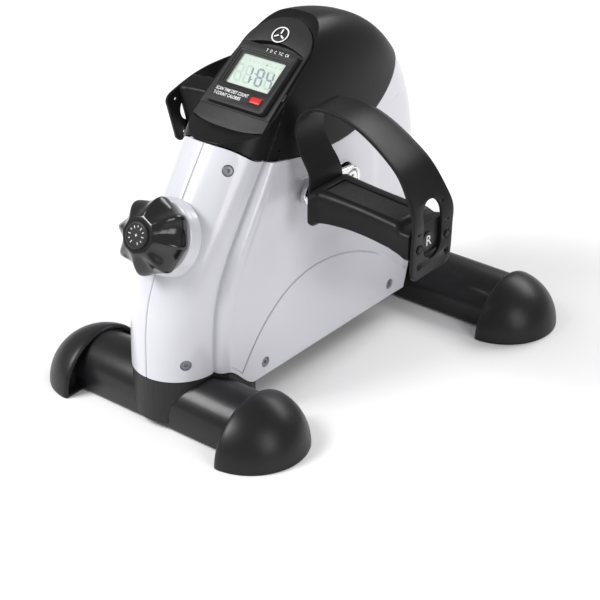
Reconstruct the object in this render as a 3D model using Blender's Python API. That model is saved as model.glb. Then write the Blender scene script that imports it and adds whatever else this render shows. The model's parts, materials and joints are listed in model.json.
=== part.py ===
"""Under-desk pedal exerciser: two foot bars, a white two-part housing with a black top cover,
a slide-on counter, a friction brake with a tension knob, and two strapped pedals on a crank.

Metres, +Z up. The user sits on the -Y side, +X is the right-hand pedal. The origin is on the
floor, midway between the foot bars and on the plane where the two housing halves meet.
"""
import math

import bmesh
import bpy
from mathutils import Matrix, Vector

# ---------------------------------------------------------------- driving dimensions
GAP = 0.0003                    # clearance kept between touching pieces
FOOT_Y = 0.1512                 # foot bar axes, in front of and behind the origin
BAR_RADIUS = 0.0295             # half width of a foot bar
BAR_AXIS_Z = 0.0144             # centre of the bar's round top
BAR_BOTTOM_Z = 0.002
BAR_WALL = 0.0025
PLUG_LENGTH = 0.0200            # how far each cap's plug reaches into its bar
CAP_RADIUS = 0.0488
CAP_HEIGHT = 0.0465
FRONT_CAP_X = 0.0830            # inboard rim of the front caps
REAR_CAP_X = 0.1316             # inboard rim of the rear caps
CAP_RECESS = 0.0080
CAP_LIP = 0.0020

SIDE_X = 0.0480                 # half width of the housing
NOSE_RADIUS = 0.0385            # round front column of the housing
SHELL_WALL = 0.0026
JOINT_GAP = 0.0008              # shadow line between the housing and the cover
SEAM_GAP = 0.00015              # each half stops this far from the seam plane
NOSE_BOTTOM_Z = 0.0466
PANEL_BOTTOM_Z = 0.0220
REAR_BOTTOM_Z = 0.0500
COVER_WALL = 0.0025
COVER_OVERHANG = 0.0008

CRANK_Y = 0.0180                # crank axle centre
CRANK_Z = 0.1670
CRANK_RADIUS = 0.0534
CRANK_RISE = math.radians(6.4)  # the right arm points forward and a little up
AXLE_RADIUS = 0.0070
ARM_X = 0.0490                  # inboard face of a crank arm
ARM_THICK = 0.0058
NUT_RADIUS = 0.0085
NUT_SEAT_X = 0.0522             # floor of the recess for the nut, in the outer face of the arm
ARM_END_RADIUS = 0.0107
DRUM_RADIUS = 0.0380
DRUM_HALF_WIDTH = 0.0110

PEDAL_TILT = {"right": 0.0, "left": math.radians(-74.0)}   # turn of each pedal on its spindle
PEDAL_X1 = 0.1715               # outboard face of the pedal's end plate
SPINDLE_RADIUS = 0.0045
STRAP_THICK = 0.0026

KNOB_BASE = Vector((0.0, -0.1560, 0.1635))     # where the knob's axis leaves the nose
KNOB_TILT = math.radians(24.4)
KNOB_DIR = Vector((0.0, -math.cos(KNOB_TILT), math.sin(KNOB_TILT)))
KNOB_RADIUS = 0.0330
KNOB_LOBES = 5
BOSS_RADIUS = 0.0305
ROD_RADIUS = 0.0030

CONSOLE_TOP = Vector((0.0, -0.0204, 0.2827))   # middle of the counter face's upper edge
CONSOLE_TILT = math.radians(35.9)              # face's slope from the horizontal
CONSOLE_DOWN = Vector((0.0, -math.cos(CONSOLE_TILT), -math.sin(CONSOLE_TILT)))
CONSOLE_OUT = Vector((0.0, -math.sin(CONSOLE_TILT), math.cos(CONSOLE_TILT)))
CONSOLE_HALF = 0.0300
CONSOLE_LENGTH = 0.0610

SIDES = (("right", 1.0), ("left", -1.0))
X_AXIS = Vector((1.0, 0.0, 0.0))

# ---------------------------------------------------------------- materials
COLOURS = {
    "white_plastic": ((0.80, 0.80, 0.83), 0.22, 0.0),
    "black_gloss": ((0.018, 0.018, 0.020), 0.20, 0.0),
    "black_satin": ((0.025, 0.025, 0.027), 0.45, 0.0),
    "black_rubber": ((0.030, 0.030, 0.032), 0.60, 0.0),
    "black_steel": ((0.028, 0.028, 0.030), 0.38, 0.2),
    "chrome": ((0.78, 0.78, 0.80), 0.08, 1.0),
    "bare_steel": ((0.55, 0.55, 0.57), 0.32, 1.0),
    "grey_plug": ((0.33, 0.33, 0.36), 0.40, 0.0),
    "felt": ((0.32, 0.26, 0.18), 0.90, 0.0),
    "brass": ((0.70, 0.52, 0.22), 0.30, 1.0),
    "lcd_green": ((0.66, 0.78, 0.68), 0.30, 0.0),
    "clear_lens": ((0.85, 0.90, 0.88), 0.05, 0.0),
    "circuit_green": ((0.04, 0.22, 0.10), 0.50, 0.0),
    "red_button": ((0.70, 0.03, 0.03), 0.30, 0.0),
}


def make_materials():
    """One Principled material for each finish."""
    made = {}
    for name, (colour, roughness, metallic) in COLOURS.items():
        material = bpy.data.materials.new(name)
        material.use_nodes = True
        shader = material.node_tree.nodes["Principled BSDF"]
        shader.inputs["Base Color"].default_value = (*colour, 1.0)
        shader.inputs["Roughness"].default_value = roughness
        shader.inputs["Metallic"].default_value = metallic
        made[name] = material
    return made


# ---------------------------------------------------------------- mesh helpers
def clear_scene():
    """Remove whatever the scene holds."""
    for item in list(bpy.data.objects):
        bpy.data.objects.remove(item, do_unlink=True)


def add_object(name, mesh_data, material, origin=(0.0, 0.0, 0.0), smooth=40.0):
    """Turn a bmesh given in world space into an object whose origin is at the given point."""
    bmesh.ops.recalc_face_normals(mesh_data, faces=mesh_data.faces)
    if mesh_data.calc_volume(signed=True) < 0.0:
        bmesh.ops.reverse_faces(mesh_data, faces=mesh_data.faces)
    bmesh.ops.translate(mesh_data, verts=mesh_data.verts, vec=-Vector(origin))
    mesh = bpy.data.meshes.new(name)
    mesh_data.to_mesh(mesh)
    mesh_data.free()
    mesh.shade_smooth()
    mesh.set_sharp_from_angle(angle=math.radians(smooth))
    item = bpy.data.objects.new(name, mesh)
    item.location = origin
    bpy.context.scene.collection.objects.link(item)
    mesh.materials.append(MATERIALS[material])
    return item


def add_cutter(name, mesh_data):
    """A hidden guide that a Boolean reads."""
    item = add_object(name, mesh_data, "bare_steel")
    item.hide_render = True
    item.display_type = "WIRE"
    return item


def combine(target, other, operation):
    """Join, cut or intersect the target with a hidden guide."""
    modifier = target.modifiers.new(other.name, "BOOLEAN")
    modifier.operation = operation
    modifier.solver = "EXACT"
    modifier.object = other


def loft(mesh_data, rings, cap=True):
    """Bridge rings of equal length; with cap, the first and last ring are closed."""
    made = [[mesh_data.verts.new(point) for point in ring] for ring in rings]
    count = len(rings[0])
    for lower, upper in zip(made, made[1:]):
        for i in range(count):
            j = (i + 1) % count
            mesh_data.faces.new((lower[i], lower[j], upper[j], upper[i]))
    if cap:
        mesh_data.faces.new(made[0])
        mesh_data.faces.new(made[-1])
    return made


def ring_loft(mesh_data, rings):
    """Bridge rings and join the last one back to the first."""
    made = [[mesh_data.verts.new(point) for point in ring] for ring in rings]
    count = len(rings[0])
    for k, lower in enumerate(made):
        upper = made[(k + 1) % len(made)]
        for i in range(count):
            j = (i + 1) % count
            mesh_data.faces.new((lower[i], lower[j], upper[j], upper[i]))


def extrude_x(mesh_data, outline, x0, x1):
    """Extrude a closed outline of (y, z) points from x0 to x1."""
    loft(mesh_data, [[(x, y, z) for y, z in outline] for x in (x0, x1)])


def extrude_z(mesh_data, outline, z0, z1):
    """Extrude a closed outline of (x, y) points from z0 to z1."""
    loft(mesh_data, [[(x, y, z) for x, y in outline] for z in (z0, z1)])


def box(mesh_data, low, high, frame=None):
    """A box between two corners, optionally carried by a matrix."""
    outline = [(low[0], low[1]), (high[0], low[1]), (high[0], high[1]), (low[0], high[1])]
    rings = [[Vector((x, y, z)) for x, y in outline] for z in (low[2], high[2])]
    if frame is not None:
        rings = [[frame @ point for point in ring] for ring in rings]
    loft(mesh_data, rings)


def axis_frame(origin, direction):
    """A matrix whose Z is the direction; its X is square to that and as near world X as can be."""
    z_axis = Vector(direction).normalized()
    side = Vector((0.0, 0.0, 1.0)) if abs(z_axis.x) > 0.95 else X_AXIS
    x_axis = (side - z_axis * z_axis.dot(side)).normalized()
    y_axis = z_axis.cross(x_axis)
    frame = Matrix((x_axis, y_axis, z_axis)).transposed().to_4x4()
    frame.translation = Vector(origin)
    return frame


def circle(radius, count, phase=0.0):
    """Points of a circle in the XY plane."""
    step = 2.0 * math.pi / count
    return [(radius * math.cos(phase + i * step), radius * math.sin(phase + i * step))
            for i in range(count)]


def turned(mesh_data, frame, profile, count=24):
    """A solid turned about the frame's Z from a profile of (radius, height) points."""
    rings = [[frame @ Vector((x, y, height)) for x, y in circle(radius, count)]
             for radius, height in profile]
    loft(mesh_data, rings)


def turned_ring(mesh_data, frame, profile, count=24):
    """A ring turned about the frame's Z from a closed profile of (radius, height) points."""
    rings = [[frame @ Vector((x, y, height)) for x, y in circle(radius, count)]
             for radius, height in profile]
    ring_loft(mesh_data, rings)


def smoothstep(low, high, value):
    """0 below low, 1 above high, and smooth between."""
    t = min(max((value - low) / (high - low), 0.0), 1.0)
    return t * t * (3.0 - 2.0 * t)


def mix(a, b, t):
    """Linear blend."""
    return a + (b - a) * t


def curve_value(points, value):
    """Smooth curve through a short list of (position, value) points."""
    if value <= points[0][0]:
        return points[0][1]
    for (a, fa), (b, fb) in zip(points, points[1:]):
        if value <= b:
            return mix(fa, fb, smoothstep(a, b, value) * 0.35 + (value - a) / (b - a) * 0.65)
    return points[-1][1]


# ---------------------------------------------------------------- housing shape
def nose_axis_y(z):
    """Centre of the nose column: upright near the floor, leaning back above."""
    return -0.1475 + 0.0112 * math.log1p(math.exp((z - 0.118) / 0.016))


DOME_BASE_Z = 0.1200             # the upper body is one egg-like dome above this height
DOME_RISE = 0.1860
DOME_REAR = 0.1650
DOME_POWER = 2.5                 # roundness of the dome seen from behind
DOME_SIDE_POWER = 3.6            # squarer across its middle, where the counter sits
REAR_TIP_LOW = [(0.023, 0.119), (0.050, 0.173), (0.085, 0.171), (0.120, 0.165)]
REAR_FLAT_END = [(0.030, 0.108), (0.070, 0.086), (0.120, 0.030), (0.160, 0.000)]
SPLIT_LOW = (0.0100, 0.2040)     # lowest point of the joint between housing and cover


def dome_share(z):
    """How much of the dome's section is left at a height: 1 at its base, 0 at its top."""
    return max(1.0 - (max(z - DOME_BASE_Z, 0.0) / DOME_RISE) ** DOME_POWER, 0.0)


def dome_side(z):
    """Half width of the body at a height."""
    return SIDE_X * dome_share(z) ** (1.0 / DOME_SIDE_POWER)


def dome_rear(z):
    """Rearmost point of the body at a height."""
    if z < DOME_BASE_Z:
        return curve_value(REAR_TIP_LOW, z)
    return DOME_REAR * math.sqrt(dome_share(z))


def split_z(y):
    """Height of the joint between the white housing and the black cover."""
    steepness = 3.4 if y > SPLIT_LOW[0] else 1.4
    return SPLIT_LOW[1] + steepness * (y - SPLIT_LOW[0]) ** 2 + 0.0075 * smoothstep(0.086, 0.106, -y)


def bottom_z(y):
    """Height of the housing's lower edge: high over both foot bars, low between them."""
    front = 1.0 - smoothstep(-0.140, -0.104, y)
    rear = smoothstep(0.108, 0.121, y)
    z = PANEL_BOTTOM_Z + (NOSE_BOTTOM_Z - PANEL_BOTTOM_Z) * front
    return z + (REAR_BOTTOM_Z - PANEL_BOTTOM_Z) * rear


NOSE_STEPS = 8
FLANK_STEPS = 4
SIDE_STEPS = 6
REAR_STEPS = 10


def outline_at(z, inset=0.0):
    """Half outline of the housing at one height, from the nose's middle to the rear's middle."""
    centre = nose_axis_y(z)
    radius = NOSE_RADIUS - inset
    side = dome_side(z) - inset
    points = []
    for i in range(NOSE_STEPS):
        angle = 0.5 * math.pi * i / NOSE_STEPS
        points.append((radius * math.sin(angle), centre - radius * math.cos(angle)))
    flank = side - radius
    for i in range(FLANK_STEPS):
        angle = 0.5 * math.pi * i / FLANK_STEPS
        y = centre + 0.0015 + inset + flank * (1.0 - math.cos(angle)) * 1.1
        points.append((radius + flank * math.sin(angle), y))
    start = centre + 0.0015 + inset + flank * 1.1
    flat_end = curve_value(REAR_FLAT_END, z)
    tip = dome_rear(z) - inset
    for i in range(SIDE_STEPS):
        points.append((side, mix(start, flat_end, i / SIDE_STEPS)))
    for i in range(REAR_STEPS + 1):
        angle = 0.5 * math.pi * i / REAR_STEPS
        x = side * max(math.cos(angle), 0.0) ** (2.0 / DOME_POWER)
        points.append((x, flat_end + (tip - flat_end) * math.sin(angle)))
    return points


def housing_point(index, level, inset):
    """A point of the housing wall: level 0 is the lower edge and 1 is the joint with the cover."""
    z = 0.12
    for _ in range(6):
        y = outline_at(z, inset)[index][1]
        z = mix(bottom_z(y), split_z(y) - JOINT_GAP, level)
    x, y = outline_at(z, inset)[index]
    return x, y, z


HOUSING_LEVELS = [0.0, 0.07, 0.18, 0.32, 0.46, 0.60, 0.74, 0.88, 1.0]


def build_housing_half(name, side):
    """One half of the white housing: a bent wall, open at its top and bottom."""
    count = len(outline_at(0.1))
    loops = []
    for level in HOUSING_LEVELS:
        outer = [housing_point(i, level, 0.0) for i in range(count)]
        inner = [housing_point(i, level, SHELL_WALL) for i in range(count)]
        loop = outer + inner[::-1]
        loops.append([(side * max(x, SEAM_GAP), y, z) for x, y, z in loop])
    body = bmesh.new()
    made = loft(body, loops, cap=False)
    for rim in (made[0], made[-1]):
        for i in range(count - 1):
            body.faces.new((rim[i], rim[i + 1], rim[-2 - i], rim[-1 - i]))
    shell = add_object(name, body, "white_plastic", smooth=30.0)

    boss = bmesh.new()
    frame = axis_frame(KNOB_BASE - KNOB_DIR * 0.016, KNOB_DIR)
    turned(boss, frame, [(BOSS_RADIUS, 0.0), (BOSS_RADIUS, 0.0205), (BOSS_RADIUS - 0.0012, 0.0215)], 32)
    boss_guide = add_cutter("guide_boss_" + name, boss)
    half = bmesh.new()
    box(half, (SEAM_GAP, -0.3, 0.0), (0.2, 0.3, 0.4), Matrix.Scale(side, 4, X_AXIS))
    half_guide = add_cutter("guide_half_" + name, half)
    combine(boss_guide, half_guide, "INTERSECT")
    combine(shell, boss_guide, "UNION")

    bore = bmesh.new()
    turned(bore, frame, [(ROD_RADIUS + 0.0006, -0.01), (ROD_RADIUS + 0.0006, 0.03)], 16)
    combine(shell, add_cutter("guide_rod_bore_" + name, bore), "DIFFERENCE")
    trim = bmesh.new()
    turned(trim, frame, [(0.026, -0.02), (0.026, 0.0175)], 32)
    trim_guide = add_cutter("guide_boss_hollow_" + name, trim)
    combine(shell, trim_guide, "DIFFERENCE")

    axle = bmesh.new()
    turned(axle, axis_frame((0.0, CRANK_Y, CRANK_Z), X_AXIS),
           [(0.0135, -0.07), (0.0135, 0.07)], 32)
    combine(shell, add_cutter("guide_axle_hole_" + name, axle), "DIFFERENCE")
    if side > 0.0:
        cut_screw_holes(shell)
    return shell


# screw seats on the right half: point on the wall, and the direction in which the wall faces
SCREW_SEATS = (
    ("housing_screw_low_front", Vector((SIDE_X, -0.0910, 0.0349)), Vector((1.0, 0.0, 0.0))),
    ("housing_screw_low_rear", Vector((SIDE_X, 0.0865, 0.0348)), Vector((1.0, 0.0, 0.0))),
    ("housing_screw_nose_top", Vector((0.0265, -0.1092, 0.2126)), Vector((0.66, -0.60, 0.45))),
    ("housing_screw_nose_low", Vector((0.0305, -0.1706, 0.0619)), Vector((0.79, -0.61, 0.03))),
)
SCREW_RADIUS = 0.0046


def cut_screw_holes(shell):
    """Holes through the right half for its four screws."""
    for name, point, facing in SCREW_SEATS:
        hole = bmesh.new()
        turned(hole, axis_frame(point - facing.normalized() * 0.008, facing),
               [(SCREW_RADIUS + GAP, 0.0), (SCREW_RADIUS + GAP, 0.02)], 16)
        combine(shell, add_cutter("guide_" + name, hole), "DIFFERENCE")


def build_screws():
    """Recessed screws that hold the housing halves together."""
    for name, point, facing in SCREW_SEATS:
        screw = bmesh.new()
        turned(screw, axis_frame(point, facing),
               [(0.0017, -0.0150), (0.0017, -0.0026), (SCREW_RADIUS, -0.0024), (SCREW_RADIUS, -0.0009),
                (SCREW_RADIUS - 0.0008, -0.0004)], 16)
        add_object(name, screw, "grey_plug")


# ---------------------------------------------------------------- top cover
COVER_LEVELS = (0.1960, 0.2100, 0.2230, 0.2350, 0.2470, 0.2590, 0.2700, 0.2800, 0.2885, 0.2960, 0.3015,
                0.3045, 0.3057)
COVER_FLAT = -0.0040             # flat face of the cover, below the counter's face
COVER_FRONT_STEPS = 14
COVER_REAR_STEPS = 11
LEDGE = ((-0.0795, 0.2353), (-0.1500, 0.2247))       # cover's shelf below the counter, in (y, z)


def cover_ring(z, inset):
    """Whole outline of the dome at one height; the nose column limits it at the front."""
    grow = COVER_OVERHANG - inset
    share = max(dome_share(z + inset), 0.0001)
    side = SIDE_X * share ** (1.0 / DOME_SIDE_POWER) + grow
    rear = DOME_REAR * math.sqrt(share) + grow
    radius = NOSE_RADIUS + grow
    centre = nose_axis_y(z)
    points = []
    for i in range(COVER_FRONT_STEPS):
        angle = 0.5 * math.pi * i / COVER_FRONT_STEPS
        x = side * math.sin(angle) ** (2.0 / DOME_SIDE_POWER)
        nose_y = centre - math.sqrt(max(radius ** 2 - x ** 2, 0.0)) + max(x - radius, 0.0) ** 2 * 110.0
        points.append((x, max(-rear * math.cos(angle), min(nose_y, -0.004))))
    for i in range(COVER_REAR_STEPS + 1):
        angle = 0.5 * math.pi * i / COVER_REAR_STEPS
        points.append((side * max(math.cos(angle), 0.0) ** (2.0 / DOME_POWER), rear * math.sin(angle)))
    mirrored = [(-x, y) for x, y in points[1:-1]]
    return [(x, y, z) for x, y in points + mirrored[::-1]]


def build_dome(inset, low_drop):
    """Closed dome used for the cover's outside and, inset, for its hollow."""
    body = bmesh.new()
    rings = [cover_ring(z - inset, inset) for z in COVER_LEVELS]
    first = [(x, y, z - low_drop) for x, y, z in rings[0]]
    loft(body, [first] + rings)
    return body


def build_cover():
    """Black dome over the housing: flat where the counter sits, cut to the joint and hollowed."""
    cover = add_object("top_cover", build_dome(0.0, 0.002), "black_gloss", smooth=35.0)
    for name, drop in (("flat", 0.0), ("inner_flat", COVER_WALL)):
        top = console_point(0.0, -0.0600, COVER_FLAT - drop)
        outline = [(top.y, top.z)] + [(y, z - drop) for y, z in LEDGE]
        outline += [(LEDGE[-1][0], 0.36), (top.y, 0.36)]
        flat = bmesh.new()
        extrude_x(flat, outline, -0.09, 0.09)
        guide = add_cutter("guide_cover_" + name, flat)
        if name == "flat":
            combine(cover, guide, "DIFFERENCE")
    hollow = add_cutter("guide_cover_hollow", build_dome(COVER_WALL, 0.03))
    combine(hollow, guide, "DIFFERENCE")
    combine(cover, hollow, "DIFFERENCE")

    trim = bmesh.new()
    ys = [-0.1410 + i * 0.0073 for i in range(42)]
    outline = [(ys[0], 0.15)] + [(y, split_z(y)) for y in ys] + [(ys[-1], 0.15)]
    extrude_x(trim, outline, -0.08, 0.08)
    combine(cover, add_cutter("guide_cover_trim", trim), "DIFFERENCE")
    return cover


# ---------------------------------------------------------------- counter and its holder
def console_point(x, down, out):
    """World point from counter coordinates: across, down the face and out of the face."""
    return CONSOLE_TOP + X_AXIS * x + CONSOLE_DOWN * down + CONSOLE_OUT * out


def console_prism(mesh_data, outline, out0, out1):
    """Extrude an outline of (across, down) points between two heights over the face."""
    loft(mesh_data, [[console_point(x, down, out) for x, down in outline] for out in (out0, out1)])


def rounded_rectangle(x0, x1, y0, y1, radius, steps=3):
    """Outline of a rectangle with round corners."""
    points = []
    corners = ((x1 - radius, y1 - radius, 0.0), (x0 + radius, y1 - radius, 0.5),
               (x0 + radius, y0 + radius, 1.0), (x1 - radius, y0 + radius, 1.5))
    for cx, cy, turn in corners:
        for i in range(steps + 1):
            angle = math.pi * (turn + 0.5 * i / steps)
            points.append((cx + radius * math.cos(angle), cy + radius * math.sin(angle)))
    return points


HOLDER_HALF = 0.0365
HOLDER_LIP = 0.0820


def holder_outline(inset=0.0):
    """Arch-topped plate that carries the counter, with a bowed lower lip."""
    points = []
    for i in range(21):
        angle = math.pi * i / 20
        points.append(((HOLDER_HALF - inset) * math.cos(angle), -(HOLDER_HALF - inset) * math.sin(angle)))
    for i in range(9):
        t = -1.0 + 2.0 * i / 8
        points.append(((HOLDER_HALF - 0.001 - inset) * t,
                       HOLDER_LIP - inset - 0.013 * t ** 2))
    return points


def build_holder(cover):
    """Holder plate, with the pocket that the counter slides into; it sits in the cover."""
    plate = bmesh.new()
    console_prism(plate, holder_outline(), -0.020, -0.0008)
    holder = add_object("console_holder", plate, "black_satin", smooth=30.0)
    pocket = bmesh.new()
    console_prism(pocket, rounded_rectangle(-CONSOLE_HALF - GAP, CONSOLE_HALF + GAP, -GAP,
                                            CONSOLE_LENGTH + GAP, 0.004), -0.0125, 0.02)
    combine(holder, add_cutter("guide_counter_pocket", pocket), "DIFFERENCE")
    window = bmesh.new()
    console_prism(window, holder_outline(-GAP), -0.0203, 0.03)
    combine(cover, add_cutter("guide_holder_seat", window), "DIFFERENCE")
    lead = bmesh.new()
    turned(lead, axis_frame(console_point(0.0, 0.030, -0.03), CONSOLE_OUT), [(0.003, 0.0), (0.003, 0.03)], 12)
    combine(holder, add_cutter("guide_lead_hole", lead), "DIFFERENCE")
    return holder


WINDOW_X = 0.0222
WINDOW_TOP = 0.0110
WINDOW_BOTTOM = 0.0410
BUTTON_X = (0.0130, 0.0215)
BUTTON_DOWN = (0.0478, 0.0538)


def build_counter():
    """Counter: front bezel, back, display, lens, circuit board, cell, its door and the button."""
    bezel = bmesh.new()
    console_prism(bezel, rounded_rectangle(-CONSOLE_HALF, CONSOLE_HALF, 0.0, CONSOLE_LENGTH, 0.004),
                  -0.0060, 0.0030)
    case = add_object("console_front", bezel, "black_gloss", smooth=30.0)
    cavity = bmesh.new()
    console_prism(cavity, rounded_rectangle(-CONSOLE_HALF + 0.0018, CONSOLE_HALF - 0.0018, 0.0018,
                                            CONSOLE_LENGTH - 0.0018, 0.0025), -0.02, 0.0)
    combine(case, add_cutter("guide_case_cavity", cavity), "DIFFERENCE")
    window = bmesh.new()
    console_prism(window, rounded_rectangle(-WINDOW_X, WINDOW_X, WINDOW_TOP, WINDOW_BOTTOM, 0.001),
                  -0.02, 0.02)
    combine(case, add_cutter("guide_window", window), "DIFFERENCE")
    button_hole = bmesh.new()
    console_prism(button_hole, rounded_rectangle(BUTTON_X[0] - GAP, BUTTON_X[1] + GAP,
                                                 BUTTON_DOWN[0] - GAP, BUTTON_DOWN[1] + GAP, 0.0008),
                  -0.02, 0.02)
    combine(case, add_cutter("guide_button_hole", button_hole), "DIFFERENCE")

    back = bmesh.new()
    console_prism(back, rounded_rectangle(-CONSOLE_HALF, CONSOLE_HALF, 0.0, CONSOLE_LENGTH, 0.004),
                  -0.0122, -0.0063)
    back_item = add_object("console_back", back, "black_satin", smooth=30.0)
    hollow = bmesh.new()
    console_prism(hollow, rounded_rectangle(-CONSOLE_HALF + 0.0018, CONSOLE_HALF - 0.0018, 0.0018,
                                            CONSOLE_LENGTH - 0.0018, 0.0025), -0.0104, 0.02)
    combine(back_item, add_cutter("guide_back_hollow", hollow), "DIFFERENCE")
    door_hole = bmesh.new()
    console_prism(door_hole, rounded_rectangle(-0.0163, 0.0163, 0.0297, 0.0463, 0.001), -0.02, 0.0)
    combine(back_item, add_cutter("guide_door_hole", door_hole), "DIFFERENCE")

    pieces = (
        ("lcd_lens", "clear_lens", (-WINDOW_X + GAP, WINDOW_X - GAP, WINDOW_TOP + GAP, WINDOW_BOTTOM - GAP),
         (0.0004, 0.0014), 0.0007),
        ("lcd_panel", "lcd_green", (-0.0245, 0.0245, 0.0090, 0.0430), (-0.0024, -0.0003), 0.0008),
        ("circuit_board", "circuit_green", (-0.0275, 0.0275, 0.0035, 0.0575), (-0.0052, -0.0038), 0.001),
        ("battery_door", "black_satin", (-0.0160, 0.0160, 0.0300, 0.0460), (-0.0122, -0.0107), 0.0008),
    )
    for name, material, (x0, x1, y0, y1), (out0, out1), radius in pieces:
        body = bmesh.new()
        console_prism(body, rounded_rectangle(x0, x1, y0, y1, radius), out0, out1)
        add_object(name, body, material, smooth=30.0)

    cell = bmesh.new()
    turned(cell, axis_frame(console_point(0.0, 0.038, -0.0101), CONSOLE_OUT),
           [(0.0055, 0.0), (0.0058, 0.0004), (0.0058, 0.0038), (0.0054, 0.0042)], 20)
    add_object("button_cell", cell, "bare_steel")

    button = bmesh.new()
    console_prism(button, rounded_rectangle(BUTTON_X[0], BUTTON_X[1], BUTTON_DOWN[0], BUTTON_DOWN[1], 0.0006),
                  -0.0022, 0.0046)
    add_object("reset_button", button, "red_button",
               origin=console_point(0.5 * sum(BUTTON_X), 0.5 * sum(BUTTON_DOWN), 0.0), smooth=30.0)


# ---------------------------------------------------------------- feet
def bar_outline(grow=0.0, steps=18, bottom=BAR_BOTTOM_Z):
    """Cross-section of a foot bar in (y, z) about its own middle: round top, upright sides."""
    radius = BAR_RADIUS + grow
    points = [(radius * math.cos(math.pi * i / steps), BAR_AXIS_Z + radius * math.sin(math.pi * i / steps))
              for i in range(steps + 1)]
    return points + [(-radius, bottom - grow), (radius, bottom - grow)]


def build_bar(name, y, half_length):
    """Hollow foot bar, open at its ends."""
    outer = [(y + py, pz) for py, pz in bar_outline()]
    inner = [(y + py, pz) for py, pz in bar_outline(-BAR_WALL)]
    rings = []
    for x, outline in ((-half_length, outer), (half_length, outer),
                       (half_length, inner), (-half_length, inner)):
        rings.append([(x, py, pz) for py, pz in outline])
    body = bmesh.new()
    ring_loft(body, rings)
    bar = add_object(name, body, "black_steel")
    for x in BOLT_X:
        hole = bmesh.new()
        turned(hole, axis_frame((x, y, 0.0), (0.0, 0.0, 1.0)), [(0.0033, 0.02), (0.0033, 0.08)], 12)
        combine(bar, add_cutter("guide_%s_bolt_%d" % (name, x * 1000), hole), "DIFFERENCE")


def build_cap(name, x_rim, side, y):
    """Quarter-ellipsoid end cap with a lip, a recess round the bar and a plug inside the bar."""
    body = bmesh.new()
    arc, rows = 16, 6
    rings = []
    for k in range(rows):
        angle = 0.5 * math.pi * k / rows
        scale = math.cos(angle)
        x = side * (x_rim + CAP_RADIUS * math.sin(angle))
        rings.append([(x, y + CAP_RADIUS * scale * math.cos(math.pi * i / arc),
                       CAP_HEIGHT * scale * math.sin(math.pi * i / arc)) for i in range(arc + 1)])
    made = [[body.verts.new(point) for point in ring] for ring in rings]
    tip = body.verts.new((side * (x_rim + CAP_RADIUS), y, 0.0))
    for lower, upper in zip(made, made[1:]):
        for i in range(arc):
            body.faces.new((lower[i], lower[i + 1], upper[i + 1], upper[i]))
        body.faces.new((lower[arc], lower[0], upper[0], upper[arc]))
    for i in range(arc):
        body.faces.new((made[-1][i], made[-1][i + 1], tip))
    body.faces.new((made[-1][arc], made[-1][0], tip))
    body.faces.new(made[0])
    cap = add_object(name, body, "black_rubber", smooth=50.0)

    recess = bmesh.new()
    rings = []
    for x in (x_rim - 0.01, x_rim + CAP_RECESS):
        rings.append([(side * x, y + (CAP_RADIUS - CAP_LIP) * math.cos(math.pi * i / arc),
                       CAP_LIP + (CAP_HEIGHT - 2 * CAP_LIP) * math.sin(math.pi * i / arc))
                      for i in range(arc + 1)])
    loft(recess, rings)
    combine(cap, add_cutter("guide_recess_" + name, recess), "DIFFERENCE")
    plug = bmesh.new()
    outline = [(y + py, pz) for py, pz in bar_outline(-BAR_WALL - GAP)]
    extrude_x(plug, outline, side * (x_rim - PLUG_LENGTH), side * (x_rim + CAP_RECESS + 0.002))
    combine(cap, add_cutter("guide_plug_" + name, plug), "UNION")


def build_front_saddle():
    """Black bracket between the nose and the front bar, following the nose's footprint."""
    steps = 12
    centre = nose_axis_y(NOSE_BOTTOM_Z)
    radius = NOSE_RADIUS - 0.0004
    half = []
    for i in range(steps + 1):
        angle = 0.5 * math.pi * i / steps
        half.append((radius * math.sin(angle), centre - radius * math.cos(angle)))
    half += [(0.0440, -0.1440), (0.0474, -0.1370), (0.0476, -0.1300), (0.0476, -0.1230), (0.0476, -0.1160),
             (0.0476, -0.1090), (0.0460, -0.1020), (0.0440, -0.1000)]
    body = bmesh.new()
    rows = []
    for low in (True, False):
        rows.append([[body.verts.new((sign * x, y, 0.006 if low else bottom_z(y) - JOINT_GAP))
                      for x, y in half[first:]]
                     for sign, first in ((1.0, 0), (-1.0, 1))])
    for right, left in rows:
        body.faces.new((right[0], right[1], left[0]))
        for i in range(1, len(half) - 1):
            body.faces.new((right[i], right[i + 1], left[i], left[i - 1]))
    low_loop, high_loop = [right + left[::-1] for right, left in rows]
    for i in range(len(low_loop)):
        j = (i + 1) % len(low_loop)
        body.faces.new((low_loop[i], low_loop[j], high_loop[j], high_loop[i]))
    saddle = add_object("front_saddle", body, "black_satin", smooth=35.0)
    finish_saddle(saddle, -FOOT_Y)
    beam = bmesh.new()
    box(beam, (-0.0303, -0.1200, 0.0237), (0.0303, -0.09, 0.06))
    combine(saddle, add_cutter("guide_saddle_beam", beam), "DIFFERENCE")


def finish_saddle(saddle, y):
    """Cut the foot bar's seat and the bolt holes out of a saddle."""
    bar = bmesh.new()
    extrude_x(bar, [(y + py, pz) for py, pz in bar_outline(GAP, bottom=-0.02)], -0.09, 0.09)
    combine(saddle, add_cutter("guide_seat_" + saddle.name, bar), "DIFFERENCE")
    for x in BOLT_X:
        hole = bmesh.new()
        turned(hole, axis_frame((x, y, 0.0), (0.0, 0.0, 1.0)), [(0.0033, 0.02), (0.0033, 0.08)], 12)
        combine(saddle, add_cutter("guide_%s_bolt_%d" % (saddle.name, x * 1000), hole), "DIFFERENCE")


def build_rear_saddle():
    """Black bracket between the housing's rear and the rear bar."""
    body = bmesh.new()
    extrude_z(body, rounded_rectangle(-0.034, 0.034, 0.1275, 0.1700, 0.008, 4), 0.030, REAR_BOTTOM_Z - GAP)
    finish_saddle(add_object("rear_saddle", body, "black_satin"), FOOT_Y)


BOLT_X = (-0.0160, 0.0160)


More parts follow.
